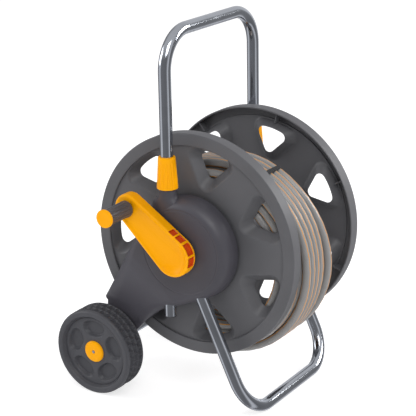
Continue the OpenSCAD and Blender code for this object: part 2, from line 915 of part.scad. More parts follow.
module axle_plugs() {
  color("ivory") placed() for (side = [-1, 1]) {
    sided(side) at_yz(axle_at) {
      ring_of(axle_end_x - 16, axle_end_x, axle_r - tube_wall, 2.5, small_fn);
    }
  }
}

module axle_screws() {
  color("silver") placed() for (side = [-1, 1]) {
    sided(side) at_yz(axle_at) {
      rod_x(axle_end_x - 14, axle_end_x, 2.5, small_fn);
      rod_x(axle_end_x, axle_end_x + retainer_t, retainer_r, small_fn);
      rod_x(axle_end_x, cap_x + cap_t - 1, 2.6, small_fn);
    }
  }
}

module wheel() {
  chamfer = 4;
  at_yz(axle_at) difference() {
    turned_x() polygon([
      [axle_r + run_gap, wheel_in_x],
      [hub_r, wheel_in_x],
      [hub_r, web_out_x - web_t],
      [rim_in_r, web_out_x - web_t],
      [rim_in_r, wheel_in_x + 3],
      [rim_in_r + 3, wheel_in_x],
      [wheel_r - chamfer, wheel_in_x],
      [wheel_r, wheel_in_x + chamfer],
      [wheel_r, wheel_out_x - chamfer],
      [wheel_r - chamfer, wheel_out_x],
      [wheel_r - 9, wheel_out_x],
      [wheel_r - 12, web_out_x + 2],
      [wheel_r - 14, web_out_x],
      [axle_r + run_gap, web_out_x]
    ]);
    rod_x(axle_end_x - 0.5, web_out_x + cut, retainer_r + 0.8);
    for (i = [0:pocket_count - 1]) {
      rotate([360 * (i + 0.25) / pocket_count, 0, 0])
        along_x(web_out_x - pocket_depth, web_out_x + cut)
          polygon(arc(13, 0, 345, 23, [(hub_cap_d / 2 + rim_in_r) / 2 + 4, 0]));
    }
  }
}

module wheel_left() color("dimgray") placed() sided(-1) wheel();

module wheel_right() color("dimgray") placed() sided(1) wheel();

module hub_cap() {
  at_yz(axle_at) difference() {
    turned_x() polygon([
      [0, cap_x],
      [hub_cap_d / 2, cap_x],
      [hub_cap_d / 2, cap_x + 1.5],
      [hub_cap_d / 2 - 2, cap_x + cap_t - 1],
      [hub_cap_d / 2 - 7, cap_x + cap_t],
      [0, cap_x + cap_t]
    ]);
    rod_x(cap_x - cut, cap_x + cap_t + cut, 3.2, small_fn);
  }
}

module hub_cap_left() color("orange") placed() sided(-1) hub_cap();

module hub_cap_right() color("orange") placed() sided(1) hub_cap();

// ---- Water inlet ----

inlet_screw_r = 1.75;
inlet_plate_r = spindle_r + 18;
inlet_screw_pcr = spindle_r + 11;
seal_x = [bush_x + 4, bush_x + 12];
seal_t = 2.5;
seal_depth = 1.6;

module at_inlet_screws() {
  for (i = [0:2]) at_yz(polar(inlet_screw_pcr, 30 + 120 * i)) children();
}

module inlet_body() {
  color("orange") placed() difference() {
    union() {
      rod_x(shell_out_x, inlet_plate_x, inlet_plate_r);
      rod_x(inlet_plate_x, inlet_hex_x, inlet_hex_r, 6);
      rod_x(inlet_hex_x, inlet_hex_x + inlet_groove_t, nose_d / 2 - 1.5);
      rod_x(inlet_hex_x + inlet_groove_t, inlet_tip_x, nose_d / 2);
      rod_x(bush_x, shell_out_x, pipe_r);
    }
    rod_x(bush_x - cut, inlet_tip_x + cut, water_r);
    for (x = seal_x) ring_of(x, x + seal_t, pipe_r + cut, pipe_r - seal_depth);
    at_inlet_screws() rod_x(shell_out_x - cut, inlet_plate_x + cut, inlet_screw_r + seat_gap, small_fn);
  }
}

module inlet_seals() {
  color("black") placed() for (x = seal_x) {
    ring_of(x, x + seal_t, pipe_r, pipe_r - seal_depth);
  }
}

module inlet_screws() {
  color("silver") placed() at_inlet_screws() {
    rod_x(shell_out_x - shell_wall, inlet_plate_x, inlet_screw_r, small_fn);
    rod_x(inlet_plate_x, inlet_plate_x + 2, inlet_screw_r * 2, small_fn);
  }
}

// ---- Assembly ----

flange_left();
flange_right();
drum();
drum_screws();
spindle_left();
spindle_right();
crank_bolt();
crank_arm();
grip_pin();
grip_clip();
feed_pipe();
drum_outlet();
outlet_nut();
hose_tail();
hose_coil();
hose_end();
hose_connector();
hose_strap();
grip_sleeve();
grip_cap();
shell_left();
shell_right();
cover_left();
cover_right();
cover_screws();
bush_left();
bush_right();
collet_left();
collet_right();
foot_tube();
foot_screws();
axle_tube();
axle_plugs();
axle_screws();
inlet_body();
inlet_seals();
inlet_screws();
handle_tube();
handle_plugs();
collar_left();
collar_right();
wheel_left();
wheel_right();
hub_cap_left();
hub_cap_right();
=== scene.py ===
import math

import bmesh
import bpy
import numpy as np
from mathutils import Matrix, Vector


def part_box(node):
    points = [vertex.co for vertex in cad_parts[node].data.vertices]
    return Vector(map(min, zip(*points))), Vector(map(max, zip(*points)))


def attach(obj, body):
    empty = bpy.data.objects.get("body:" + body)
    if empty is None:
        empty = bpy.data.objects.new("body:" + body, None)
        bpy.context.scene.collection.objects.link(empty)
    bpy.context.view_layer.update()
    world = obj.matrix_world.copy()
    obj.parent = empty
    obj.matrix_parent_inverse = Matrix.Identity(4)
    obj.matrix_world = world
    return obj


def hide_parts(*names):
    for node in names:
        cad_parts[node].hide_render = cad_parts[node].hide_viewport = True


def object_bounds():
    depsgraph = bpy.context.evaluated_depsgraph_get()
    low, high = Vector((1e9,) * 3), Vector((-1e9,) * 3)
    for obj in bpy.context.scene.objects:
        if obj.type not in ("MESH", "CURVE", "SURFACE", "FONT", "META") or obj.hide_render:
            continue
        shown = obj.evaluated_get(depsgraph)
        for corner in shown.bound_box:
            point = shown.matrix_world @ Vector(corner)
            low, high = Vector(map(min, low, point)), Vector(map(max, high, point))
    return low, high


# Garden hose reel cart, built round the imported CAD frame.
# All shapes are worked out in millimetres from the middle of the reel's axis:
# X along the axis with the crank at -X, Y to the rear, Z up.

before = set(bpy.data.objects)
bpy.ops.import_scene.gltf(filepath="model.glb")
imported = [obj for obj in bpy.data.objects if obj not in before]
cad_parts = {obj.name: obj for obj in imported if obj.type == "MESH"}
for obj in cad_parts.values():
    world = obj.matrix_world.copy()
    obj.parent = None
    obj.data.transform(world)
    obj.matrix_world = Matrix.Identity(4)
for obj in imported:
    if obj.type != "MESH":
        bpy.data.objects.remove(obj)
CAD_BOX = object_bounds()
MM = 0.001


def box_mm(node):
    low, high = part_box(node)
    return np.array(low) / MM, np.array(high) / MM


FLANGE_L = box_mm("flange_left")
FLANGE_R = box_mm("flange_right")
REEL = (FLANGE_L[0] + FLANGE_R[1]) / 2


def local_box(node):
    low, high = box_mm(node)
    return low - REEL, high - REEL


# ---- Sizes, from the frame ----

RING_X = (FLANGE_R[1][0] - FLANGE_L[0][0]) / 2
FLANGE_RAD = (FLANGE_R[1][2] - FLANGE_R[0][2]) / 2
RIM_IN_X = RING_X - (FLANGE_R[1][0] - FLANGE_R[0][0])
FACE_STEP = 4
FACE_X = RING_X - FACE_STEP
WALL = 3
SHELL_X = local_box("cover_right")[1][0]
BOSS_R = -local_box("cover_right")[0][1]
SCREW_SUNK = 2.5
SHELL_TOP = local_box("inlet_screws")[0][0] + SCREW_SUNK
WHEEL = local_box("wheel_right")
AXLE = (WHEEL[0] + WHEEL[1])[1:] / 2
WHEEL_R = (WHEEL[1] - WHEEL[0])[2] / 2
COIL = local_box("hose_coil")
COIL_C = (COIL[0] + COIL[1])[1:] / 2
COLLAR = local_box("collar_right")
LEG = (COLLAR[0] + COLLAR[1])[:2] / 2
ARM = local_box("crank_arm")
SLEEVE = local_box("grip_sleeve")
GRIP = (SLEEVE[0] + SLEEVE[1])[1:] / 2
CAP = local_box("grip_cap")
HUB_CAP = local_box("hub_cap_right")
LEG_HOLE = 11.4


# ---- Small helpers ----

def polar(r, degrees):
    a = np.radians(degrees)
    return np.stack([r * np.cos(a), r * np.sin(a)], axis=-1)


def arc(r, a0, a1, n, centre=(0, 0)):
    return polar(r, np.linspace(a0, a1, n + 1)) + np.asarray(centre, float)


def spin(degrees):
    """Matrix that turns rows of (Y, Z) about the X axis, as points @ matrix."""
    c, s = math.cos(math.radians(degrees)), math.sin(math.radians(degrees))
    return np.array([[c, s], [-s, c]])


def smooth(t):
    t = np.clip(t, 0, 1)
    return t * t * (3 - 2 * t)


def mix(a, b, t):
    return a + (b - a) * t


def rounded(a, p, b, cut, n):
    """Points of a soft corner at p, starting cut away from it on the way from a and on to b."""
    a, p, b = (np.asarray(q, float) for q in (a, p, b))
    start = p + (a - p) / np.linalg.norm(a - p) * cut
    end = p + (b - p) / np.linalg.norm(b - p) * cut
    t = np.linspace(0, 1, n + 1)[:, None]
    return (1 - t) ** 2 * start + 2 * t * (1 - t) * p + t ** 2 * end


def unit(v):
    v = np.asarray(v, float)
    return v / np.linalg.norm(v)


def chaikin(points, times):
    """Rounds a closed outline by cutting its corners so many times."""
    p = np.asarray(points, float)
    for _ in range(times):
        q = np.roll(p, -1, axis=0)
        p = np.stack([0.75 * p + 0.25 * q, 0.25 * p + 0.75 * q], axis=1).reshape(-1, p.shape[1])
    return p


def lift(x, yz):
    """3-D points from an X (one or many) and (Y, Z) points."""
    yz = np.asarray(yz, float)
    x = np.broadcast_to(np.asarray(x, float)[..., None], yz.shape[:-1] + (1,))
    return np.concatenate([x, yz], axis=-1)


SHARP_DEG = 38


class Part:
    """Collects surfaces and makes one piece of them. A slot is the number of a face's material."""

    def __init__(self):
        self.points = []
        self.faces = []
        self.slots = []
        self.count = 0

    def add(self, points, faces, slots=None):
        points = np.asarray(points, float).reshape(-1, 3)
        self.faces += [[i + self.count for i in f] for f in faces]
        self.slots += slots or [0] * len(faces)
        self.points.append(points)
        self.count += len(points)

    def cap(self, corners, slot=0):
        """One face through points that are already there, by their numbers."""
        self.faces.append(list(corners))
        self.slots.append(slot)

    def grid(self, p, slot=0, slot_of=None):
        """A surface through closed rows of points."""
        p = np.asarray(p, float)
        rows, cols = p.shape[:2]
        faces, slots = [], []
        for i in range(rows - 1):
            for j in range(cols):
                k = (j + 1) % cols
                faces.append([i * cols + j, i * cols + k, (i + 1) * cols + k, (i + 1) * cols + j])
                slots.append(slot_of(i, j) if slot_of else slot)
        self.add(p, faces, slots)

    def lathe(self, profile, n, at=(0, 0), start=0.0, wobble=None):
        """Turns (radius, X) points round an X axis through at."""
        a = np.arange(n) * 360.0 / n + start
        rows = []
        for i, (r, x) in enumerate(profile):
            radius = r if wobble is None else r + wobble(i, a)
            rows.append(lift(np.full(n, x), polar(np.broadcast_to(radius, a.shape), a) + np.asarray(at)))
        self.grid(rows)

    def turned(self, profile, n, origin, along, wobble=None):
        """Turns (radius, height) points round an axis from origin on along."""
        along = unit(along)
        across = np.array([1.0, 0, 0])
        other = np.cross(along, across)
        a = np.arange(n) * 360.0 / n
        c, s = np.cos(np.radians(a))[:, None], np.sin(np.radians(a))[:, None]
        rows = []
        for i, (r, h) in enumerate(profile):
            radius = np.full(n, r) if wobble is None else r + wobble(i, a)
            rows.append(np.asarray(origin, float) + h * along + radius[:, None] * (c * across + s * other))
        self.grid(rows)

    def box(self, low, high, turn):
        """A block between two corners, turned about the reel's axis."""
        p = np.array([[x, y, z] for x in (low[0], high[0]) for y in (low[1], high[1])
                      for z in (low[2], high[2])], float)
        p[:, 1:] = p[:, 1:] @ spin(turn)
        self.add(p, [[0, 1, 3, 2], [4, 6, 7, 5], [0, 4, 5, 1], [2, 3, 7, 6], [0, 2, 6, 4], [1, 5, 7, 3]])

    def make(self, name, body, materials, replaces=(), slot=None, side=1, sharp=SHARP_DEG, weld=0.02):
        """Makes the mesh, mirrored where side is -1, welds it and gives it to a body."""
        points = np.concatenate(self.points) * [side, 1, 1]
        mesh = bpy.data.meshes.new(name)
        mesh.from_pydata(((points + REEL) * MM).tolist(), [], self.faces)
        for m in materials:
            mesh.materials.append(m)
        mesh.polygons.foreach_set("material_index", self.slots)
        bm = bmesh.new()
        bm.from_mesh(mesh)
        bmesh.ops.remove_doubles(bm, verts=bm.verts, dist=weld * MM)
        bmesh.ops.dissolve_degenerate(bm, edges=bm.edges, dist=1e-7)
        bmesh.ops.recalc_face_normals(bm, faces=bm.faces)
        bm.to_mesh(mesh)
        bm.free()
        mesh.shade_smooth()
        mesh.set_sharp_from_angle(angle=math.radians(sharp))
        piece = bpy.data.objects.new(name, mesh)
        bpy.context.scene.collection.objects.link(piece)
        smoothing = piece.modifiers.new("even_normals", "WEIGHTED_NORMAL")
        smoothing.keep_sharp = True
        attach(piece, body)
        if replaces:
            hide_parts(*replaces)
        return piece


# ---- Materials ----

def new_material(name):
    m = bpy.data.materials.new(name)
    m.use_nodes = True
    nodes, links = m.node_tree.nodes, m.node_tree.links
    return m, nodes, links, nodes["Principled BSDF"]


def noise(nodes, links, coords, scale, detail, rough=0.5):
    n = nodes.new("ShaderNodeTexNoise")
    n.inputs["Scale"].default_value = scale
    n.inputs["Detail"].default_value = detail
    n.inputs["Roughness"].default_value = rough
    links.new(coords, n.inputs["Vector"])
    return n.outputs["Fac"]


def between(nodes, links, fac, low, high, a=0.3, b=0.7):
    """A colour that goes from low to high as fac goes from a to b."""
    ramp = nodes.new("ShaderNodeValToRGB")
    ramp.color_ramp.elements[0].position = a
    ramp.color_ramp.elements[1].position = b
    ramp.color_ramp.elements[0].color = (*low, 1)
    ramp.color_ramp.elements[1].color = (*high, 1)
    links.new(fac, ramp.inputs["Fac"])
    return ramp.outputs["Color"]


def bump(nodes, links, height, distance, strength=1.0):
    b = nodes.new("ShaderNodeBump")
    b.inputs["Strength"].default_value = strength
    b.inputs["Distance"].default_value = distance
    links.new(height, b.inputs["Height"])
    return b.outputs["Normal"]


def varied_roughness(nodes, links, shader, fac, low, high):
    rough = nodes.new("ShaderNodeMapRange")
    rough.inputs["To Min"].default_value = low
    rough.inputs["To Max"].default_value = high
    links.new(fac, rough.inputs["Value"])
    links.new(rough.outputs["Result"], shader.inputs["Roughness"])


def darker(colour, part):
    return tuple(c * (1 - part) for c in colour)


def lighter(colour, part):
    return tuple(min(1.0, c * (1 + part)) for c in colour)


# Noise scales, in cells per metre
FLOW_SCALE, SCUFF_SCALE, GRAIN_SCALE = 9.0, 38.0, 1400.0
CLOUD_SCALE, DRAWN_SCALE = 26.0, 420.0
# Bump heights, in metres
SPARK_GRAIN, FINE_GRAIN, DRAWN_GRAIN = 0.00006, 0.00002, 0.00002


def plastic(name, colour, roughness, grain=SPARK_GRAIN, variation=0.08, specular=0.5):
    """Moulded plastic: fine spark-eroded grain, slight flow marks and a little scuffing."""
    m, nodes, links, shader = new_material(name)
    coords = nodes.new("ShaderNodeTexCoord").outputs["Object"]
    flow = noise(nodes, links, coords, FLOW_SCALE, 3.0)
    shades = between(nodes, links, flow, darker(colour, variation), lighter(colour, variation))
    links.new(shades, shader.inputs["Base Color"])
    scuffs = noise(nodes, links, coords, SCUFF_SCALE, 4.0, 0.6)
    varied_roughness(nodes, links, shader, scuffs, roughness - 0.05, roughness + 0.06)
    fine = noise(nodes, links, coords, GRAIN_SCALE, 2.0)
    links.new(bump(nodes, links, fine, grain), shader.inputs["Normal"])
    shader.inputs["Specular IOR Level"].default_value = specular
    return m


def metal(name, colour, roughness):
    """Bright zinc plate: faint cloudy patches and fine drawing marks."""
    m, nodes, links, shader = new_material(name)
    coords = nodes.new("ShaderNodeTexCoord").outputs["Object"]
    cloud = noise(nodes, links, coords, CLOUD_SCALE, 4.0, 0.6)
    shades = between(nodes, links, cloud, darker(colour, 0.1), colour, 0.35, 0.65)
    links.new(shades, shader.inputs["Base Color"])
    shader.inputs["Metallic"].default_value = 1.0
    varied_roughness(nodes, links, shader, cloud, roughness - 0.05, roughness + 0.07)
    fine = noise(nodes, links, coords, DRAWN_SCALE, 3.0)
    links.new(bump(nodes, links, fine, DRAWN_GRAIN), shader.inputs["Normal"])
    return m


YARN_SLANT = 35
YARN_SCALE = 120.0


def hose_skin(name, colour):
    """Soft PVC over a knitted yarn: the yarn shows as a faint diamond net through the skin."""
    m, nodes, links, shader = new_material(name)
    uv = nodes.new("ShaderNodeUVMap")
    uv.uv_map = "along"
    yarns = []
    for slant in (1.0, -1.0):
        turn = nodes.new("ShaderNodeMapping")
        turn.inputs["Rotation"].default_value = (0, 0, slant * math.radians(YARN_SLANT))
        links.new(uv.outputs["UV"], turn.inputs["Vector"])
        wave = nodes.new("ShaderNodeTexWave")
        wave.inputs["Scale"].default_value = YARN_SCALE
        wave.inputs["Distortion"].default_value = 0.4
        links.new(turn.outputs["Vector"], wave.inputs["Vector"])
        yarns.append(wave.outputs["Fac"])
    net = nodes.new("ShaderNodeMath")
    net.operation = "MAXIMUM"
    links.new(yarns[0], net.inputs[0])
    links.new(yarns[1], net.inputs[1])
    shades = between(nodes, links, net.outputs[0], darker(colour, 0.16), lighter(colour, 0.12), 0.5, 1.0)
    links.new(shades, shader.inputs["Base Color"])
    links.new(bump(nodes, links, net.outputs[0], 0.00012, 0.6), shader.inputs["Normal"])
    shader.inputs["Roughness"].default_value = 0.3
    shader.inputs["Coat Weight"].default_value = 0.4
    shader.inputs["Coat Roughness"].default_value = 0.15
    return m


WEAVE_SCALE = 500.0


def webbing(name, colour):
    """Woven strap: fine ribs across it."""
    m, nodes, links, shader = new_material(name)
    coords = nodes.new("ShaderNodeTexCoord").outputs["Object"]
    wave = nodes.new("ShaderNodeTexWave")
    wave.inputs["Scale"].default_value = WEAVE_SCALE
    links.new(coords, wave.inputs["Vector"])
    shades = between(nodes, links, wave.outputs["Fac"], darker(colour, 0.4), colour, 0.2, 0.8)
    links.new(shades, shader.inputs["Base Color"])
    links.new(bump(nodes, links, wave.outputs["Fac"], 0.0002), shader.inputs["Normal"])
    shader.inputs["Roughness"].default_value = 0.75
    return m


FLANGE_GREY = plastic("flange_grey", (0.106, 0.106, 0.114), 0.5)
SHELL_GREY = plastic("shell_grey", (0.066, 0.063, 0.076), 0.44)
DARK_GREY = plastic("dark_grey", (0.05, 0.05, 0.055), 0.5)
BLACK = plastic("black_plastic", (0.02, 0.02, 0.022), 0.5)
WHEEL_GREY = plastic("wheel_grey", (0.068, 0.069, 0.079), 0.5)
GRIP_GREY = plastic("grip_grey", (0.075, 0.073, 0.082), 0.4)
YELLOW = plastic("orange_yellow", (1.0, 0.41, 0.0), 0.36, grain=FINE_GRAIN, variation=0.03,
                 specular=0.12)
# Darker orange: painted shade on the faces cut for the arm's windows, standing in for the shaded hollow
# inside the arm
WINDOW_SHADE = plastic("window_painted_shade", (0.62, 0.062, 0.0), 0.42, grain=FINE_GRAIN, variation=0.04)
IVORY = plastic("natural_nylon", (0.75, 0.73, 0.67), 0.4, grain=FINE_GRAIN, variation=0.03)
RUBBER = plastic("seal_rubber", (0.02, 0.02, 0.02), 0.65)
ZINC = metal("bright_zinc", (0.56, 0.59, 0.64), 0.12)
SCREW = metal("zinc_screws", (0.68, 0.69, 0.71), 0.22)
HOSE_SKIN = hose_skin("hose_skin", (0.265, 0.26, 0.255))
HOSE_LINE = plastic("hose_line", (0.62, 0.25, 0.015), 0.4, grain=FINE_GRAIN)
STRAP = webbing("strap_webbing", (0.03, 0.03, 0.033))


# ---- Camera ----

# Place from the reel's middle in mm, turns in radians, lens in mm
CAMERA_AT = (-2012.8, -1252.4, 816.2)
CAMERA_YAW = 0.5719
CAMERA_PITCH = 0.3181
CAMERA_ROLL = -0.0180
CAMERA_LENS = 120.59


def add_camera():
    """Looks along yaw, down by pitch and rolled a little."""
    cy, sy = math.cos(CAMERA_YAW), math.sin(CAMERA_YAW)
    cp, sp = math.cos(CAMERA_PITCH), math.sin(CAMERA_PITCH)
    forward = np.array([cy * cp, sy * cp, -sp])
    level = np.array([sy, -cy, 0.0])
    upright = np.cross(level, forward)
    c, s = math.cos(CAMERA_ROLL), math.sin(CAMERA_ROLL)
    right, up = c * level + s * upright, c * upright - s * level
    data = bpy.data.cameras.new("camera")
    data.lens = CAMERA_LENS
    data.sensor_width = 36.0
    camera = bpy.data.objects.new("camera", data)
    bpy.context.scene.collection.objects.link(camera)
    turn = np.eye(4)
    turn[:3, 0], turn[:3, 1], turn[:3, 2] = right, up, -forward
    turn[:3, 3] = (np.array(CAMERA_AT) + REEL) * MM
    camera.matrix_world = Matrix(turn.tolist())
    bpy.context.scene.camera = camera


add_camera()


# ---- Hose ----

HOSE_RAD = 7.5
PITCH = 15.1
LAYER = 15.2
LAYERS = 4
COLUMNS = 5
COIL_RAD = (COIL[1][2] - COIL[0][2]) / 2
TURN_X = COIL[0][0] + HOSE_RAD + PITCH * np.arange(COLUMNS)
LAYER_RAD = COIL_RAD - HOSE_RAD - LAYER * np.arange(LAYERS - 1, -1, -1)
# The free end's route, as in the CAD source, in metres
END_ROUTE = [(0.012, 0.016, -0.192), (0.017, 0.044, -0.182), (0.022, 0.070, -0.167),
             (0.026, 0.092, -0.148), (0.029, 0.111, -0.126), (0.031, 0.126, -0.100),
             (0.031, 0.134, -0.081)]
END_POINTS = np.array(END_ROUTE) / MM
OUTLET_DEG = -120
NUT_END = 27.0
# Where on a turn the hose climbs a layer, steps a column and settles after a climb
CLIMB_FROM, CLIMB_TO = 262, 297
STEP_FROM, STEP_TO = 300, 335
SETTLED = 370
PER_TURN = 45
STRAP_DEG = 117


def winding_keys():
    """(angle round the coil, X, radius) wherever the hose changes its way.
    Each layer runs across and the next one back; the last starts one column in."""
    rows = []
    for layer in range(LAYERS):
        across = list(range(COLUMNS))
        if layer % 2 == 0:
            across.reverse()
        if layer == LAYERS - 1:
            across = across[1:]
        rows += [(TURN_X[c], LAYER_RAD[layer]) for c in across]
    rows.append((TURN_X[-1] + PITCH, LAYER_RAD[-1]))
    keys = [(20.0, *rows[0])]
    for k in range(len(rows) - 1):
        (x, r), (x2, r2) = rows[k], rows[k + 1]
        at = 360.0 * k
        if x != x2 and r != r2:
            keys += [(at + CLIMB_FROM, x, r), (at + CLIMB_TO, x, r2)]
            r = r2
        keys += [(at + STEP_FROM, x, r), (at + STEP_TO, x2, r)]
        if r != r2:
            keys.append((at + SETTLED, x2, r2))
    last = 360.0 * (len(rows) - 1)
    x, r = rows[-1]
    end = END_POINTS[0][1:] - COIL_C
    end_deg = math.degrees(math.atan2(end[1], end[0])) + 360
    keys += [(last + 125, x, r), (last + 200, 8.0, r),
             (last + end_deg, END_POINTS[0][0], float(np.hypot(*end)))]
    return keys


def winding_path():
    """The keys joined smoothly, as points."""
    keys = np.array(winding_keys())
    n = int((keys[-1, 0] - keys[0, 0]) / 360 * PER_TURN)
    a = np.linspace(keys[0, 0], keys[-1, 0], n)
    k = np.clip(np.searchsorted(keys[:, 0], a, side="right") - 1, 0, len(keys) - 2)
    t = smooth((a - keys[k, 0]) / (keys[k + 1, 0] - keys[k, 0]))
    x = mix(keys[k, 1], keys[k + 1, 1], t)
    r = mix(keys[k, 2], keys[k + 1, 2], t)
    return lift(x, polar(r, a) + COIL_C)


def tail_path(end):
    """From the drum's outlet round the drum, and into the winding's first turn."""
    bend_r = local_box("drum")[1][2] + HOSE_RAD + 12.5
    r0 = math.hypot(bend_r, NUT_END)
    start = OUTLET_DEG + math.degrees(math.atan2(NUT_END, bend_r))
    end_deg = math.degrees(math.atan2(end[2], end[1]))
    a = np.linspace(start, end_deg, 24)[:-1]
    off = np.hypot(*COIL_C)
    off_deg = math.degrees(math.atan2(COIL_C[1], COIL_C[0]))
    turn = np.radians(a - off_deg)
    round_coil = off * np.cos(turn) + np.sqrt(LAYER_RAD[0] ** 2 - (off * np.sin(turn)) ** 2)
    r = mix(r0, round_coil, smooth((a + 50) / (end_deg + 50)))
    return lift(np.full(len(a), end[0]), polar(r, a))


def catmull(points, per_span):
    """A smooth curve through all the points."""
    p = np.vstack([2 * points[0] - points[1], points, 2 * points[-1] - points[-2]])
    out = []
    for i in range(1, len(p) - 2):
        for t in np.arange(per_span) / per_span:
            a, b, c, d = p[i - 1:i + 3]
            out.append(0.5 * (2 * b + (c - a) * t + (2 * a - 5 * b + 4 * c - d) * t ** 2
                              + (3 * b - a - 3 * c + d) * t ** 3))
    out.append(p[-2])
    return np.array(out)


def hose_path():
    coil = winding_path()
    return np.vstack([tail_path(coil[0]), coil[:-1], catmull(END_POINTS, 5)])


LINE_AT = (65, 185, 305)
LINE_HALF = 6.5
BETWEEN_LINES = 6


def hose_section():
    """Angles round the hose, and which faces are the coloured lines."""
    angles, lines = [], []
    for k, a in enumerate(LINE_AT):
        angles.append(a - LINE_HALF)
        lines.append(True)
        start = a + LINE_HALF
        stop = LINE_AT[(k + 1) % len(LINE_AT)] - LINE_HALF
        stop += 360 if stop < start else 0
        angles += list(np.linspace(start, stop, BETWEEN_LINES + 1)[:-1])
        lines += [False] * BETWEEN_LINES
    return np.array(angles, float), lines


def add_hose():
    path = hose_path()
    step = np.linalg.norm(np.diff(path, axis=0), axis=1)
    along = np.concatenate([[0], np.cumsum(step)])
    way = np.gradient(path, axis=0)
    way /= np.linalg.norm(way, axis=1)[:, None]
    side = np.array([1.0, 0, 0]) - way * way[:, :1]
    side /= np.linalg.norm(side, axis=1)[:, None]
    out = np.cross(side, way)
    angles, lines = hose_section()
    twist = 5 * np.sin(along / 420.0) + 4 * np.sin(along / 1130.0 + 1)
    a = np.radians(angles[None, :] + twist[:, None])[..., None]
    rows = path[:, None] + HOSE_RAD * (np.cos(a) * out[:, None] + np.sin(a) * side[:, None])
    part = Part()
    part.grid(rows, slot_of=lambda i, j: 1 if lines[j] else 0)
    n = len(angles)
    last = (len(path) - 1) * n
    part.cap(range(n - 1, -1, -1))
    part.cap(range(last, last + n))
    piece = part.make("hose", "reel", [HOSE_SKIN, HOSE_LINE], ("hose_tail", "hose_coil", "hose_end"),
                      "hose", weld=0.0001)
    uv = piece.data.uv_layers.new(name="along")
    corner = np.zeros(len(piece.data.loops), int)
    piece.data.loops.foreach_get("vertex_index", corner)
    value = np.zeros((len(corner), 2))
    value[:, 0] = np.radians(angles[corner % n]) * HOSE_RAD * MM
    value[:, 1] = along[np.minimum(corner // n, len(along) - 1)] * MM
    uv.data.foreach_set("uv", value.ravel())
    return piece, path


hose, HOSE_PATH = add_hose()


# ---- What is on the hose ----

CONNECTOR_LEN = 46
CONNECTOR_RAD = 14
NUT_LEN = 14
NOSE_RAD = 8.75
NOSE_DEPTH = 18
WATERWAY = 4.5
GROOVES = 5


def flutes(count, depth, fade):
    """A wobble for lathe or turned: the rows from fade's first to its last are fluted."""
    def at(row, degrees):
        if not fade[0] <= row <= fade[1]:
            return np.zeros(len(degrees))
        wave = np.cos(np.radians(degrees) * count)
        return -depth * np.clip(-0.15 - wave, 0, 1) ** 0.7
    return at


def add_connector():
    way = unit(END_POINTS[-1] - END_POINTS[-2])
    part = Part()
    nut = [(7.6, -2), (10.5, -1.2), (12, 0), (12.4, 2), (12.4, 12), (11.8, 13.5), (11, NUT_LEN)]
    part.turned(nut, 96, END_POINTS[-1], way, wobble=flutes(16, 1.0, (2, 5)))
    r, end = CONNECTOR_RAD, CONNECTOR_LEN
    body = [(11, NUT_LEN), (r - 1, 14.3), (r, 15.5), (r, 18)]
    for k in range(GROOVES):
        h = 19 + 4 * k
        body += [(r - 1, h), (r - 1, h + 1.2), (r, h + 1.8), (r, h + 3.4)]
    body += [(r, end - 3), (r - 0.8, end - 0.6), (r - 2, end), (NOSE_RAD + 1, end), (NOSE_RAD, end - 0.8),
             (NOSE_RAD, end - NOSE_DEPTH), (WATERWAY, end - NOSE_DEPTH - 1), (WATERWAY, -2)]
    part.turned(body, 96, END_POINTS[-1], way)
    return part.make("hose_connector_body", "reel", [YELLOW], ("hose_connector",), "yellow_plastic")


def hull_path(centres, r):
    """A tight loop round circles whose centres go round a convex polygon."""
    c = np.asarray(centres, float)
    out = []
    for i in range(len(c)):
        before, after = c[i] - c[i - 1], c[(i + 1) % len(c)] - c[i]
        a0 = math.degrees(math.atan2(before[1], before[0])) - 90
        a1 = math.degrees(math.atan2(after[1], after[0])) - 90
        out.append(arc(r, a0, a0 + (a1 - a0) % 360, 6, c[i]))
    return np.vstack(out)


STRAP_W = 9
STRAP_T = 1.2
STRAP_ROOM = 0.1


def add_strap():
    """A webbing loop round all the turns, pressed flat against the flange."""
    centres = [(TURN_X[0], LAYER_RAD[0]), (TURN_X[-1], LAYER_RAD[0]),
               (TURN_X[-1] + PITCH, LAYER_RAD[-1]), (TURN_X[0], LAYER_RAD[-1])]
    inner = hull_path(centres, HOSE_RAD + STRAP_ROOM)
    outer = hull_path(centres, HOSE_RAD + STRAP_ROOM + STRAP_T)
    inner[:, 0] = np.maximum(inner[:, 0], 0.15 - RIM_IN_X)
    outer[:, 0] = np.maximum(outer[:, 0], 0.05 - RIM_IN_X)
    half = STRAP_W / 2
    section = [(0, half - 0.4), (0.5, half), (1, half - 0.4), (1, 0.4 - half), (0.5, -half), (0, 0.4 - half)]
    c, s = math.cos(math.radians(STRAP_DEG)), math.sin(math.radians(STRAP_DEG))
    rows = []
    for t, across in section:
        p = mix(inner, outer, t)
        y, z = p[:, 1] * c - across * s, p[:, 1] * s + across * c
        rows.append(np.stack([p[:, 0], y + COIL_C[0], z + COIL_C[1]], axis=1))
    rows.append(rows[0])
    part = Part()
    part.grid(rows)
    return part.make("coil_strap", "reel", [STRAP], ("hose_strap",), "strap")


# ---- Reel ----

# OPEN_... sizes belong to the openings: funnels with a rolled mouth in the face
OPENINGS = 7
SECTOR = 360 / OPENINGS
HUB_RAD = 40
SPINDLE_HOLE = local_box("spindle_right")[1][2]
OPEN_IN = BOSS_R + 10
OPEN_OUT = FLANGE_RAD - 22
OPEN_MID = (OPEN_IN + OPEN_OUT) / 2 + 14
OPEN_CORNER = 16
OPEN_HALF = 10
OPEN_DEPTH = FACE_X - RIM_IN_X - 2
OPEN_SHRINK = 0.61
ROLL = 2.3


def dense(points, step=0.5):
    p = np.vstack([points, points[:1]])
    length = np.concatenate([[0], np.cumsum(np.linalg.norm(np.diff(p, axis=0), axis=1))])
    at = np.linspace(0, length[-1], int(length[-1] / step) + 1)[:-1]
    return np.stack([np.interp(at, length, p[:, k]) for k in range(p.shape[1])], axis=1)


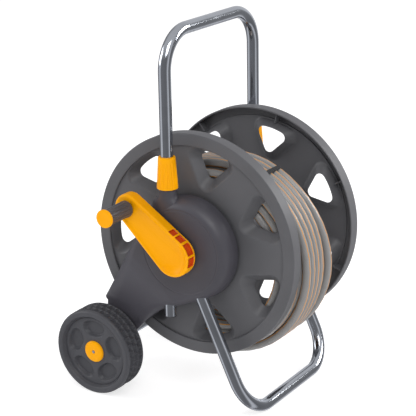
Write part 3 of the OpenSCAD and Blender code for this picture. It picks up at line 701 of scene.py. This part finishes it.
def star_radius(outline, directions):
    """Distance from the origin to a closed outline, in each direction (radians)."""
    p = dense(outline)
    a = np.arctan2(p[:, 1], p[:, 0])
    order = np.argsort(a)
    return np.interp(directions, a[order], np.hypot(p[order, 0], p[order, 1]), period=2 * np.pi)


def opening_outline(grow):
    """Rounded triangle with its apex towards the axis, about the opening's own middle."""
    r = OPEN_CORNER + grow
    edge = OPEN_OUT - 1
    apex = np.array([OPEN_IN + OPEN_CORNER - OPEN_MID, 0])
    base = polar(edge - OPEN_CORNER, OPEN_HALF) - (OPEN_MID, 0)
    side = math.degrees(math.atan2(base[1], base[0] - apex[0])) + 90
    return np.vstack([
        arc(r, side, 360 - side, 24, apex),
        arc(r, -side, -OPEN_HALF, 20, base * (1, -1)),
        arc(edge + grow, -OPEN_HALF, OPEN_HALF, 16, (-OPEN_MID, 0)),
        arc(r, OPEN_HALF, side, 20, base)])


def sector_edge():
    """The edge of one sector of the flange's face, about the opening's middle."""
    half = SECTOR / 2
    return np.vstack([
        polar(OPEN_OUT, np.linspace(-half, half, 25)),
        polar(np.linspace(OPEN_OUT, HUB_RAD, 18)[1:-1], half),
        polar(HUB_RAD, np.linspace(half, -half, 9)),
        polar(np.linspace(HUB_RAD, OPEN_OUT, 18)[1:-1], -half)]) - (OPEN_MID, 0)


def funnel_rows():
    """(points, X) rows from the sector's edge over the face, down the funnel and back underneath."""
    edge = sector_edge()
    way = np.arctan2(edge[:, 1], edge[:, 0])
    ray = np.stack([np.cos(way), np.sin(way)], axis=1)
    mouth = star_radius(opening_outline(0), way)[:, None]
    outside = star_radius(opening_outline(WALL), way)[:, None]
    room = np.linalg.norm(edge, axis=1)[:, None] - mouth
    roll = np.minimum(ROLL, 0.75 * room)

    def shrink(depth):
        return 1 - (1 - OPEN_SHRINK) * depth / OPEN_DEPTH

    rows = [(edge, FACE_X)]
    for t in (0.5, 0.12):
        rows.append((ray * mix(mouth + roll, mouth + room, t), FACE_X))
    for k in range(6):
        a = math.radians(90 * k / 5)
        depth = roll * (1 - math.cos(a))
        rows.append((ray * (mouth + roll * (1 - math.sin(a))) * shrink(depth), FACE_X - depth[:, 0]))
    for depth in (5, 8, 12, 15, OPEN_DEPTH - 1.2):
        rows.append((ray * mouth * shrink(depth), FACE_X - depth))
    for t, depth in ((0.15, 0.35), (0.4, 0), (0.7, 0), (0.93, 0.35), (1, 1.2)):
        down = OPEN_DEPTH - depth
        rows.append((ray * mix(mouth, outside, t) * shrink(down), FACE_X - down))
    for depth in (13, 9, 6, 4.2):
        rows.append((ray * outside * shrink(depth), FACE_X - depth))
    under = FACE_X - WALL
    foot = np.minimum(outside * shrink(WALL) + 1.5, mouth + room - 0.3)
    rows.append((ray * foot, under - 0.1))
    rows.append((ray * np.minimum(foot + 1.5, mouth + room - 0.15), under))
    rows.append((edge, under))
    return rows


def add_flange(name, side):
    """Face of seven sectors, channel-shaped rim with its ribs, and hub."""
    part = Part()
    rows = funnel_rows()
    for k in range(OPENINGS):
        turn = spin(SECTOR * k)
        part.grid([lift(np.broadcast_to(x, len(p)), (p + (OPEN_MID, 0)) @ turn) for p, x in rows])
    ring_in, out, lip = OPEN_OUT, FLANGE_RAD, 2.0
    profile = [(ring_in, FACE_X), (ring_in + 0.15, FACE_X + 2.6), (ring_in + 0.6, RING_X - 0.5),
               (ring_in + 1.5, RING_X - 0.05), (ring_in + 3, RING_X), (out - 4, RING_X)]
    profile += [(out - lip + lip * math.sin(a), RING_X - lip + lip * math.cos(a))
                for a in np.linspace(0, math.pi / 2, 6)]
    profile += [(out, RING_X - 6), (out, RIM_IN_X + 1.5), (out - 0.3, RIM_IN_X + 0.5), (out - 0.9, RIM_IN_X),
                (out - WALL + 0.5, RIM_IN_X), (out - WALL, RIM_IN_X + 0.7), (out - WALL, RING_X - WALL - 2),
                (out - WALL - 2, RING_X - WALL), (ring_in + WALL + 2, RING_X - WALL),
                (ring_in + WALL, RING_X - WALL - 1), (ring_in + WALL, FACE_X - WALL),
                (ring_in, FACE_X - WALL)]
    part.lathe(profile, 24 * OPENINGS, start=-SECTOR / 2)
    hole = SPINDLE_HOLE + 0.1
    hub = [(HUB_RAD, FACE_X), (hole, FACE_X), (hole, FACE_X - WALL), (HUB_RAD, FACE_X - WALL)]
    part.lathe(hub, 8 * OPENINGS, start=-SECTOR / 2)
    for k in range(OPENINGS):
        part.box((RIM_IN_X + 5, ring_in + 1, -1), (RING_X - 2, out - 1, 1), SECTOR * k)
    part.make(name + "_moulding", "reel", [FLANGE_GREY], (name,), "reel_plastic", side)


# ---- Side mouldings ----

CREASE_RAD = 75
PLATE_X = SHELL_X + 13
SHELL_WALL = 2.5
SHELL_BORE = 14.4
AXLE_BOSS_R = 17
AXLE_HOLE = 9.6
BULGE_END = (95, 190)
NECK_R = 15.2
# (Z, radius along X, radius along Y) up the neck that holds the handle's leg
NECK = ((60, NECK_R, 34), (80, NECK_R, 30), (86, 15.3, 24), (90, 15.35, 19.5), (94, 15.3, 17),
        (99, NECK_R, 15.7), (105.4, NECK_R, NECK_R), (106.2, 14.6, 14.6), (106.2, LEG_HOLE, LEG_HOLE),
        (60, LEG_HOLE, LEG_HOLE))


def shell_outline():
    """Round boss and the arm down to the axle, anticlockwise."""
    r = BOSS_R - 0.4
    rim_top = AXLE[1] + WHEEL_R
    tip = AXLE + (8, WHEEL_R + 7)
    knee = (LEG[1] + 28, -BOSS_R - 32)
    heel = AXLE + (-75, 53)
    boss = arc(r, 31, 248, 90)
    return np.vstack([
        boss,
        rounded(boss[-1], knee, (81, -142), 14, 8),
        [(81, -142), (92, -151.5)],
        rounded((92, -151.5), heel, (119, -182), 5, 4),
        arc(AXLE_BOSS_R, 218, 355, 20, AXLE),
        rounded(AXLE + (17, 4), AXLE + (3, WHEEL_R - 8), AXLE + (2, WHEEL_R + 3), 3, 3),
        rounded(AXLE + (3, WHEEL_R - 4), (AXLE[0] + 1.5, rim_top + 3), tip, 1.2, 2),
        rounded((AXLE[0] + 2, rim_top + 4), tip, boss[0], 5, 6)])


def shell_top(p, d):
    """Height of the moulding's outer face at (Y, Z) points that lie d inside its outline."""
    arm = unit(AXLE)
    s = p @ arm
    top = np.interp(s, [BULGE_END[0] - 12, BULGE_END[0] + 6, BULGE_END[1]],
                    [SHELL_TOP, SHELL_TOP - 1.5, PLATE_X + 2.5])
    near = np.linalg.norm(p - AXLE, axis=-1)
    top = mix(PLATE_X, np.maximum(top, PLATE_X), smooth((near - WHEEL_R - 4) / 12))
    rear = smooth((s - 60) / 60) * smooth((p[..., 1] + 0.75 * p[..., 0] + 60) / 40)
    width = mix(18.5, 27, rear)
    u = np.clip(d / width, 0, 1)
    base = np.minimum(PLATE_X - 4, top)
    x = base + (top - base) * np.sqrt(1 - (1 - u) ** 2)
    r = np.linalg.norm(p, axis=-1)
    return x - 0.6 * np.exp(-((r - CREASE_RAD) / 0.7) ** 2)


def add_shell(name, side):
    outline = dense(shell_outline(), 3.6)
    edge = dense(outline, 0.6)
    far = np.linalg.norm(outline, axis=1)
    way = outline / far[:, None]
    near = [SHELL_BORE, 22, 34, 48, 60, 68, 72, 73.6, 74.4, CREASE_RAD, 75.6, 76.4, 77.6]
    steps = 1 - (1 - np.linspace(0, 1, 31)[1:]) ** 1.7
    layers = [np.full(len(far), r) for r in near] + [mix(near[-1], far, t) for t in steps]
    outer = []
    for r in layers:
        p = way * r[:, None]
        d = np.array([np.min(np.linalg.norm(edge - q, axis=1)) for q in p])
        outer.append(lift(shell_top(p, d), p))
    rim = [lift(SHELL_X + 2, outline), lift(SHELL_X, outline)]
    inner_scale = np.clip(1 - SHELL_WALL / far, 0, 1)
    inner = [lift(q[:, 0] - SHELL_WALL, q[:, 1:] * mix(1, inner_scale, k / (len(outer) - 1))[:, None])
             for k, q in enumerate(outer)]
    inner_rim = lift(SHELL_X, outline * inner_scale[:, None])
    part = Part()
    part.grid(outer + rim + [inner_rim] + inner[::-1] + [outer[0]])
    a = np.radians(np.arange(64) * 360 / 64)
    part.grid([np.stack([LEG[0] + rx * np.cos(a), LEG[1] + ry * np.sin(a), np.full(64, z)], axis=1)
               for z, rx, ry in NECK])
    boss_in, boss_x = AXLE_BOSS_R - 2, PLATE_X + 1.2
    part.lathe([(AXLE_HOLE, SHELL_X), (boss_in, SHELL_X), (boss_in, PLATE_X + 0.6), (boss_in - 1, boss_x),
                (AXLE_HOLE, boss_x), (AXLE_HOLE, SHELL_X)], 64, AXLE)
    part.make(name + "_moulding", "frame", [SHELL_GREY], (name,), "shell_plastic", side, sharp=42)


# ---- Crank ----

ARM_IN, ARM_OUT = -ARM[1][0], -ARM[0][0]
THROW = float(np.linalg.norm(GRIP))
CRANK_DEG = math.degrees(math.atan2(GRIP[1], GRIP[0]))
ARM_HUB_R = -ARM[0][1]
ARM_TIP_R = ARM[1][1] - GRIP[0]
SPREAD = math.degrees(math.acos((ARM_HUB_R - ARM_TIP_R) / THROW))
ARM_RIM = 5.5
DISH_HUB, DISH_TIP = 8.4, 1.2
# Middle and length of each window along the arm's edge, from where the hub's arc begins
WINDOWS = ((-23, 12), (-6.5, 14.5), (16.5, 22), (40.5, 18))
WINDOW_X = (4.6, 20.2)
WINDOW_DEPTH = 3.2


def arm_outline(inset):
    """Two arcs and their common tangents, inset from the arm's edge."""
    return np.vstack([
        arc(ARM_HUB_R - inset, CRANK_DEG + SPREAD, CRANK_DEG + 360 - SPREAD, 60),
        arc(ARM_TIP_R - inset, CRANK_DEG - SPREAD, CRANK_DEG + SPREAD, 40, GRIP)])


def dish_depth(p, inset, deepest):
    """How far the arm's face is sunk: most at the hub, least at the grip."""
    along = np.clip((p @ unit(GRIP) + 4) / THROW, 0, 1)
    low = mix(DISH_HUB, DISH_TIP, along ** 0.8)
    t = np.clip((inset - ARM_RIM) / (deepest - ARM_RIM), 0, 1)
    return low * np.sin(math.pi / 2 * t ** 0.75)


def along_edge(s, depth):
    """Point on the arm's edge s past the start of the hub's arc, depth inside it."""
    start = CRANK_DEG + SPREAD
    if s > 0:
        return polar(ARM_HUB_R - depth, start + math.degrees(s / ARM_HUB_R))
    return polar(ARM_HUB_R - depth, start) + polar(-s, start - 90)


def window_cutter():
    """Blocks that follow the arm's edge, for the windows in its side wall; the faces they cut get the darker
    orange, painted shade for the hollow behind.
    """
    part = Part()
    low, high = ARM_IN + WINDOW_X[0], ARM_IN + WINDOW_X[1]
    for middle, length in WINDOWS:
        rows = []
        for s in np.linspace(middle - length / 2, middle + length / 2, 9):
            deep, proud = along_edge(s, WINDOW_DEPTH), along_edge(s, -2)
            rows.append([[low, *deep], [high, *deep], [high, *proud], [low, *proud]])
        first = part.count
        part.grid(rows, slot=1)
        last = part.count - 1
        part.cap(range(first, first + 4), 1)
        part.cap(range(last, last - 4, -1), 1)
    return part


def add_arm():
    part = Part()
    edge = [(1.2, 0), (0, 1), (0, 3), (0, 16.5), (0.2, 18.4), (0.8, 20), (1.8, 21.2), (3.0, 21.8),
            (4.2, 22), (ARM_RIM, 21.8)]
    rows = [lift(ARM_IN + h, arm_outline(i)) for i, h in edge]
    deepest = ARM_TIP_R - 0.5
    for inset in np.linspace(ARM_RIM, deepest, 16)[1:]:
        p = arm_outline(inset)
        rows.append(lift(ARM_OUT - 0.2 - dish_depth(p, inset, deepest), p))
    for h, inset in ((0, 4), (4, 4)):
        rows.insert(0, lift(ARM_IN + h, arm_outline(inset)))
    part.grid(rows)
    n = rows[0].shape[0]
    for base in (0, (len(rows) - 1) * n):
        for i in range(n // 2 - 1):
            part.cap([base + i, base + i + 1, base + n - 2 - i, base + n - 1 - i])
    arm = part.make("crank_arm_moulding", "reel", [YELLOW, WINDOW_SHADE], ("crank_arm",), "yellow_plastic", -1)
    # The window cuts take the second material, the darker orange painted shade
    carve(arm, window_cutter().make("crank_window_cutter", "reel", [YELLOW, WINDOW_SHADE], side=-1))


def carve(piece, cutter):
    """Cuts one piece with another, and removes the cutter."""
    cut = piece.modifiers.new("cut", "BOOLEAN")
    cut.object = cutter
    cut.operation = "DIFFERENCE"
    cut.solver = "EXACT"
    piece.modifiers.move(len(piece.modifiers) - 1, 0)
    smoothing = piece.modifiers["even_normals"]
    smoothing.show_viewport = False
    bpy.context.view_layer.update()
    seen = piece.evaluated_get(bpy.context.evaluated_depsgraph_get())
    piece.data = bpy.data.meshes.new_from_object(seen)
    piece.modifiers.remove(cut)
    smoothing.show_viewport = True
    piece.data.set_sharp_from_angle(angle=math.radians(SHARP_DEG))
    bpy.data.objects.remove(cutter)


PIN_HOLE = 5.2
CAP_T = 5


def add_grip():
    r = (SLEEVE[1][2] - SLEEVE[0][2]) / 2
    x0, x1 = -SLEEVE[1][0], -SLEEVE[0][0]
    profile = [(PIN_HOLE, x0), (r - 0.6, x0), (r, x0 + 0.8), (r, x0 + 4), (r - 0.4, x0 + 5.5),
               (r - 0.5, x0 + 8), (r - 0.5, x1 - 5), (r - 0.3, x1 - 3), (r - 0.3, x1 - 0.6),
               (r - 0.9, x1), (PIN_HOLE, x1), (PIN_HOLE, x0)]
    sleeve = Part()
    sleeve.lathe(profile, 144, GRIP, wobble=flutes(14, 1.3, (5, 6)))
    sleeve.make("grip_sleeve_moulding", "grip", [GRIP_GREY], ("grip_sleeve",), "grip_plastic", -1)
    r = (CAP[1][2] - CAP[0][2]) / 2
    x1 = -CAP[0][0]
    x0 = x1 - CAP_T
    profile = [(0.01, x0), (r - 0.4, x0), (r, x0 + 0.5), (r, x1 - 1.6), (r - 0.3, x1 - 0.8),
               (r - 1, x1 - 0.2), (r - 2, x1), (r - 5, x1 - 0.1), (6, x1 - 0.5), (0.01, x1 - 0.6)]
    cap = Part()
    cap.lathe(profile, 96, GRIP)
    cap.make("grip_cap_moulding", "grip", [YELLOW], ("grip_cap",), "yellow_plastic", -1)


# ---- Collars ----

COLLAR_FOOT_HOLE = 15.6
NECK_HOLE = 13.5
COLLAR_TOP_R = 14.75
COLLAR_LIP = 5


def add_collar(name, side):
    low, high = COLLAR[0][2], COLLAR[1][2]
    big, top = (COLLAR[1][1] - COLLAR[0][1]) / 2, COLLAR_TOP_R
    profile = [(COLLAR_FOOT_HOLE, low), (big - 1.2, low), (big - 0.3, low + 0.6), (big - 0.05, low + 2),
               (big - 0.5, low + 8)]
    for t in np.linspace(0, 1, 8)[1:]:
        profile.append((mix(big - 0.5, top + 0.9, t), mix(low + 8, high - 11, t)))
    lip = high - COLLAR_LIP
    profile += [(top + 0.75, high - 8), (top + 0.6, high - 5), (top + 0.3, high - 1.6),
                (top - 0.2, high - 0.5), (top - 1, high), (LEG_HOLE, high), (LEG_HOLE, lip),
                (NECK_HOLE, lip), (NECK_HOLE, low + 1), (COLLAR_FOOT_HOLE, low)]
    part = Part()
    part.turned(profile, 144, (LEG[0], LEG[1], 0), (0, 0, 1), wobble=flutes(14, 1.0, (4, 11)))
    part.make(name + "_moulding", name, [YELLOW], (name,), "yellow_plastic", side)


# ---- Wheels ----

WHEEL_IN, WHEEL_OUT = WHEEL[0][0], WHEEL[1][0]
WEB_X = HUB_CAP[0][0]
HUB_HOLE = 9.6
HUB_R = 17
CELLS = 36
CELL_STEPS = 6
CELL_DEPTH = 4.4
RING_DROP = 0.7


def tread(row_count):
    """Slanting ribs and rings between sunk cells, each row of cells half a cell on from the last."""
    def at(row, degrees):
        band, step = divmod(row - 1, 4)
        if row == 0 or row == row_count - 1:
            return np.zeros(len(degrees))
        if step in (0, 3):
            return np.full(len(degrees), -RING_DROP)
        half_on = CELL_STEPS // 2 * (band % 2)
        k = (np.round(degrees / 360.0 * CELLS * CELL_STEPS) + half_on + (step == 2)) % CELL_STEPS
        return np.where(k <= 1, 0.0, -CELL_DEPTH)
    return at


POCKETS = 5
POCKET_TURN = 0.25
POCKET_MID = 44.0
POCKET_DEPTH = 6.5
# (scale of the outline, part of the depth) up a pocket's wall and past the web's face
POCKET_WALL = ((0.86, 1), (0.9, 0.98), (0.94, 0.9), (1.08, 0.25), (1.13, 0.07), (1.18, 0), (1.18, -0.5))
WEB_T = 9.5
SCREW_HOLE = 3.2


def pocket_outline():
    """Rounded D whose outer side follows the rim."""
    inner = POCKET_MID - 14
    return chaikin([(inner, -9), (inner, 9), (inner + 6, 18.5), (inner + 17, 22), (inner + 25, 15.5),
                    (inner + 28, 0), (inner + 25, -15.5), (inner + 17, -22), (inner + 6, -18.5)], 3)


def wheel_profile():
    """(radius, X) from the tread's outer edge over the face, through the hub and back to the inner edge."""
    r, out, low = WHEEL_R, WHEEL_OUT, WHEEL_IN
    back = WEB_X - WEB_T
    return [(r - 0.3, out - 7), (r - 0.6, out - 4), (r - 1.6, out - 1.8), (r - 3.2, out - 0.5),
            (r - 5.5, out), (r - 10.5, out - 0.6), (r - 11.5, out - 1.2), (r - 12.2, out - 2.4),
            (r - 14.6, WEB_X + 0.5), (r - 15.1, WEB_X - 0.7), (r - 15.8, WEB_X - 0.7),
            (r - 16.3, WEB_X - 0.1), (r - 16.8, WEB_X), (30, WEB_X), (22, WEB_X), (10, WEB_X),
            (HUB_HOLE, WEB_X - 0.5), (HUB_HOLE, back), (HUB_HOLE, low), (HUB_R, low), (HUB_R, back),
            (r - 20, back), (r - 18, back - 1.5), (r - 17, low + 3), (r - 15.5, low), (r - 5, low),
            (r - 2.4, low + 0.8), (r - 0.9, low + 2), (r - 0.3, low + 3.5)]


def tread_profile():
    """(radius, X) across three bands of cells, four rows to a band."""
    rows = [(WHEEL_R - 0.3, WHEEL_IN + 3.5)]
    starts = np.linspace(WHEEL_IN + 4, WHEEL_OUT - 7.5, 4)
    for k in range(3):
        x0, x1 = starts[k] + 1.1, starts[k + 1] - 1.1
        rows += [(WHEEL_R, x0 - 0.9), (WHEEL_R, x0), (WHEEL_R, x1), (WHEEL_R, x1 + 0.9)]
    return rows + [(WHEEL_R - 0.3, WHEEL_OUT - 7)]


def pocket_cutter():
    """Blocks with sloping walls and soft edges, one for each pocket."""
    cutter = Part()
    outline = pocket_outline() - (POCKET_MID, 0)
    for k in range(POCKETS):
        turn = spin(360 / POCKETS * (k + POCKET_TURN))
        rows = []
        for scale, depth in POCKET_WALL:
            p = outline * scale + (POCKET_MID, 0)
            rows.append(lift(WEB_X - POCKET_DEPTH * depth, p @ turn + AXLE))
        first, n = cutter.count, len(outline)
        cutter.grid(rows)
        cutter.cap(range(first + n - 1, first - 1, -1))
        cutter.cap(range(cutter.count - n, cutter.count))
    return cutter


def add_wheel(name, side):
    part = Part()
    part.lathe(wheel_profile(), 180, AXLE)
    rows = tread_profile()
    part.lathe(rows, CELLS * CELL_STEPS, AXLE, wobble=tread(len(rows)))
    piece = part.make(name + "_moulding", name, [WHEEL_GREY], (name,), "wheel_plastic", side, sharp=35)
    carve(piece, pocket_cutter().make(name + "_pockets", name, [WHEEL_GREY], side=side))


def add_hub_cap(name, side):
    r = (HUB_CAP[1][2] - HUB_CAP[0][2]) / 2
    x0, x1 = HUB_CAP[0][0], HUB_CAP[1][0]
    hole, inner = SCREW_HOLE, x0 + 0.02
    profile = [(hole, x0 + 1), (hole, x1 - 1.4), (3.9, x1 - 0.9), (5.2, x1 - 0.5), (7, x1 - 0.3), (11, x1),
               (15, x1 - 0.3), (r - 2, x1 - 1.2), (r - 0.7, x1 - 2.2), (r, x1 - 3.2), (r, inner),
               (hole, inner), (hole, x0 + 1)]
    part = Part()
    part.lathe(profile, 80, AXLE)
    body = "wheel_" + name.split("_")[-1]
    part.make(name + "_moulding", body, [YELLOW], (name,), "yellow_plastic", side)


# ---- Pieces ----

connector = add_connector()
strap = add_strap()
for end, way in (("left", -1), ("right", 1)):
    add_flange("flange_" + end, way)
    add_shell("shell_" + end, way)
    add_collar("collar_" + end, way)
    add_wheel("wheel_" + end, way)
    add_hub_cap("hub_cap_" + end, way)
add_arm()
add_grip()

# Looks of the CAD solids that are shown as they are
CAD_LOOKS = {
    "drum": FLANGE_GREY, "drum_screws": SCREW, "spindle_left": SHELL_GREY, "spindle_right": SHELL_GREY,
    "crank_bolt": SCREW, "grip_pin": SCREW, "grip_clip": SCREW, "feed_pipe": BLACK, "drum_outlet": DARK_GREY,
    "outlet_nut": YELLOW, "cover_left": DARK_GREY, "cover_right": DARK_GREY, "cover_screws": SCREW,
    "bush_left": IVORY, "bush_right": IVORY, "collet_left": IVORY, "collet_right": IVORY,
    "foot_tube": ZINC, "foot_screws": SCREW, "axle_tube": ZINC, "axle_plugs": IVORY, "axle_screws": SCREW,
    "inlet_body": YELLOW, "inlet_seals": RUBBER, "inlet_screws": SCREW, "handle_tube": ZINC,
    "handle_plugs": DARK_GREY,
}
for node, look in CAD_LOOKS.items():
    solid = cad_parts[node]
    solid.data.materials.clear()
    solid.data.materials.append(look)


# ---- Floor, backdrop and light ----

FLOOR_HALF = 30
FLOOR_GLOW = 0.72
WORLD_STRENGTH = 0.7
ZENITH = (0.85, 0.85, 0.86, 1)
ZENITH_FROM, ZENITH_TO = 0.35, 0.8
# (part of a turn, brightness) round the horizon: dark and bright bands for the tubes to mirror
HORIZON = ((0.0, 0.3), (0.16, 0.26), (0.2, 0.4), (0.235, 1.0), (0.275, 0.95), (0.31, 0.24), (0.43, 0.35),
           (0.46, 1.0), (0.6, 0.9), (0.66, 0.3), (0.76, 0.35), (0.8, 1.0), (0.87, 1.0), (0.92, 0.3),
           (1.0, 0.3))
# Name, place in metres, width in metres, watts
LIGHTS = (("key_light", (-1.6, -1.5, 2.6), 1.6, 32),
          ("left_light", (-1.2, 2.4, 1.4), 1.4, 20),
          ("right_light", (1.9, -2.1, 1.7), 1.2, 55))


def add_light(name, at, size, power):
    """A square lamp that faces the reel's middle."""
    data = bpy.data.lights.new(name, "AREA")
    data.shape = "RECTANGLE"
    data.size = data.size_y = size
    data.energy = power
    light = bpy.data.objects.new(name, data)
    bpy.context.scene.collection.objects.link(light)
    back = unit(np.asarray(at, float) - REEL * MM)
    side = unit(np.cross((0, 0, 1), back))
    turn = np.eye(4)
    turn[:3, 0], turn[:3, 1], turn[:3, 2], turn[:3, 3] = side, np.cross(back, side), back, at
    light.matrix_world = Matrix(turn.tolist())


def add_floor():
    """Pale floor that the metal doesn't mirror."""
    m, _, _, shader = new_material("studio_floor")
    shader.inputs["Base Color"].default_value = (0.55, 0.55, 0.555, 1)
    shader.inputs["Roughness"].default_value = 0.9
    shader.inputs["Emission Color"].default_value = (1, 1, 1, 1)
    shader.inputs["Emission Strength"].default_value = FLOOR_GLOW
    low, h = CAD_BOX[0][2], FLOOR_HALF
    mesh = bpy.data.meshes.new("studio_floor")
    mesh.from_pydata([(-h, -h, low), (h, -h, low), (h, h, low), (-h, h, low)], [], [[0, 1, 2, 3]])
    mesh.materials.append(m)
    floor = bpy.data.objects.new("studio_floor", mesh)
    bpy.context.scene.collection.objects.link(floor)
    floor.visible_glossy = False


def horizon_colour(nodes, links, split):
    """Brightness by the way a ray points round the vertical."""
    azimuth = nodes.new("ShaderNodeMath")
    azimuth.operation = "ARCTAN2"
    links.new(split.outputs["Y"], azimuth.inputs[0])
    links.new(split.outputs["X"], azimuth.inputs[1])
    turn = nodes.new("ShaderNodeMapRange")
    turn.inputs["From Min"].default_value = -math.pi
    turn.inputs["From Max"].default_value = math.pi
    links.new(azimuth.outputs[0], turn.inputs["Value"])
    around = nodes.new("ShaderNodeValToRGB")
    for at, _ in HORIZON[1:-1]:
        around.color_ramp.elements.new(at)
    for element, (at, v) in zip(around.color_ramp.elements, HORIZON):
        element.position = at
        element.color = (v, v, v * 1.03, 1)
    links.new(turn.outputs["Result"], around.inputs["Fac"])
    return around.outputs["Color"]


def add_backdrop():
    """Soft box round the studio, lighter overhead, and plain white where it is seen directly."""
    world = bpy.data.worlds.new("studio")
    bpy.context.scene.world = world
    world.use_nodes = True
    nodes, links = world.node_tree.nodes, world.node_tree.links
    coords = nodes.new("ShaderNodeTexCoord")
    split = nodes.new("ShaderNodeSeparateXYZ")
    links.new(coords.outputs["Generated"], split.inputs["Vector"])
    rise = between(nodes, links, split.outputs["Z"], (0, 0, 0), (1, 1, 1), ZENITH_FROM, ZENITH_TO)
    blend = nodes.new("ShaderNodeMix")
    blend.data_type = "RGBA"
    colours = {socket.name: socket for socket in blend.inputs if socket.type == "RGBA"}
    links.new(horizon_colour(nodes, links, split), colours["A"])
    colours["B"].default_value = ZENITH
    links.new(rise, blend.inputs["Factor"])
    background = nodes["Background"]
    links.new([o for o in blend.outputs if o.type == "RGBA"][0], background.inputs["Color"])
    background.inputs["Strength"].default_value = WORLD_STRENGTH
    seen = nodes.new("ShaderNodeLightPath")
    white = nodes.new("ShaderNodeBackground")
    white.inputs["Color"].default_value = (1, 1, 1, 1)
    choose = nodes.new("ShaderNodeMixShader")
    links.new(seen.outputs["Is Camera Ray"], choose.inputs[0])
    links.new(background.outputs[0], choose.inputs[1])
    links.new(white.outputs[0], choose.inputs[2])
    links.new(choose.outputs[0], nodes["World Output"].inputs["Surface"])


add_floor()
add_backdrop()
for lamp in LIGHTS:
    add_light(*lamp)
bpy.context.scene.view_settings.view_transform = "Standard"
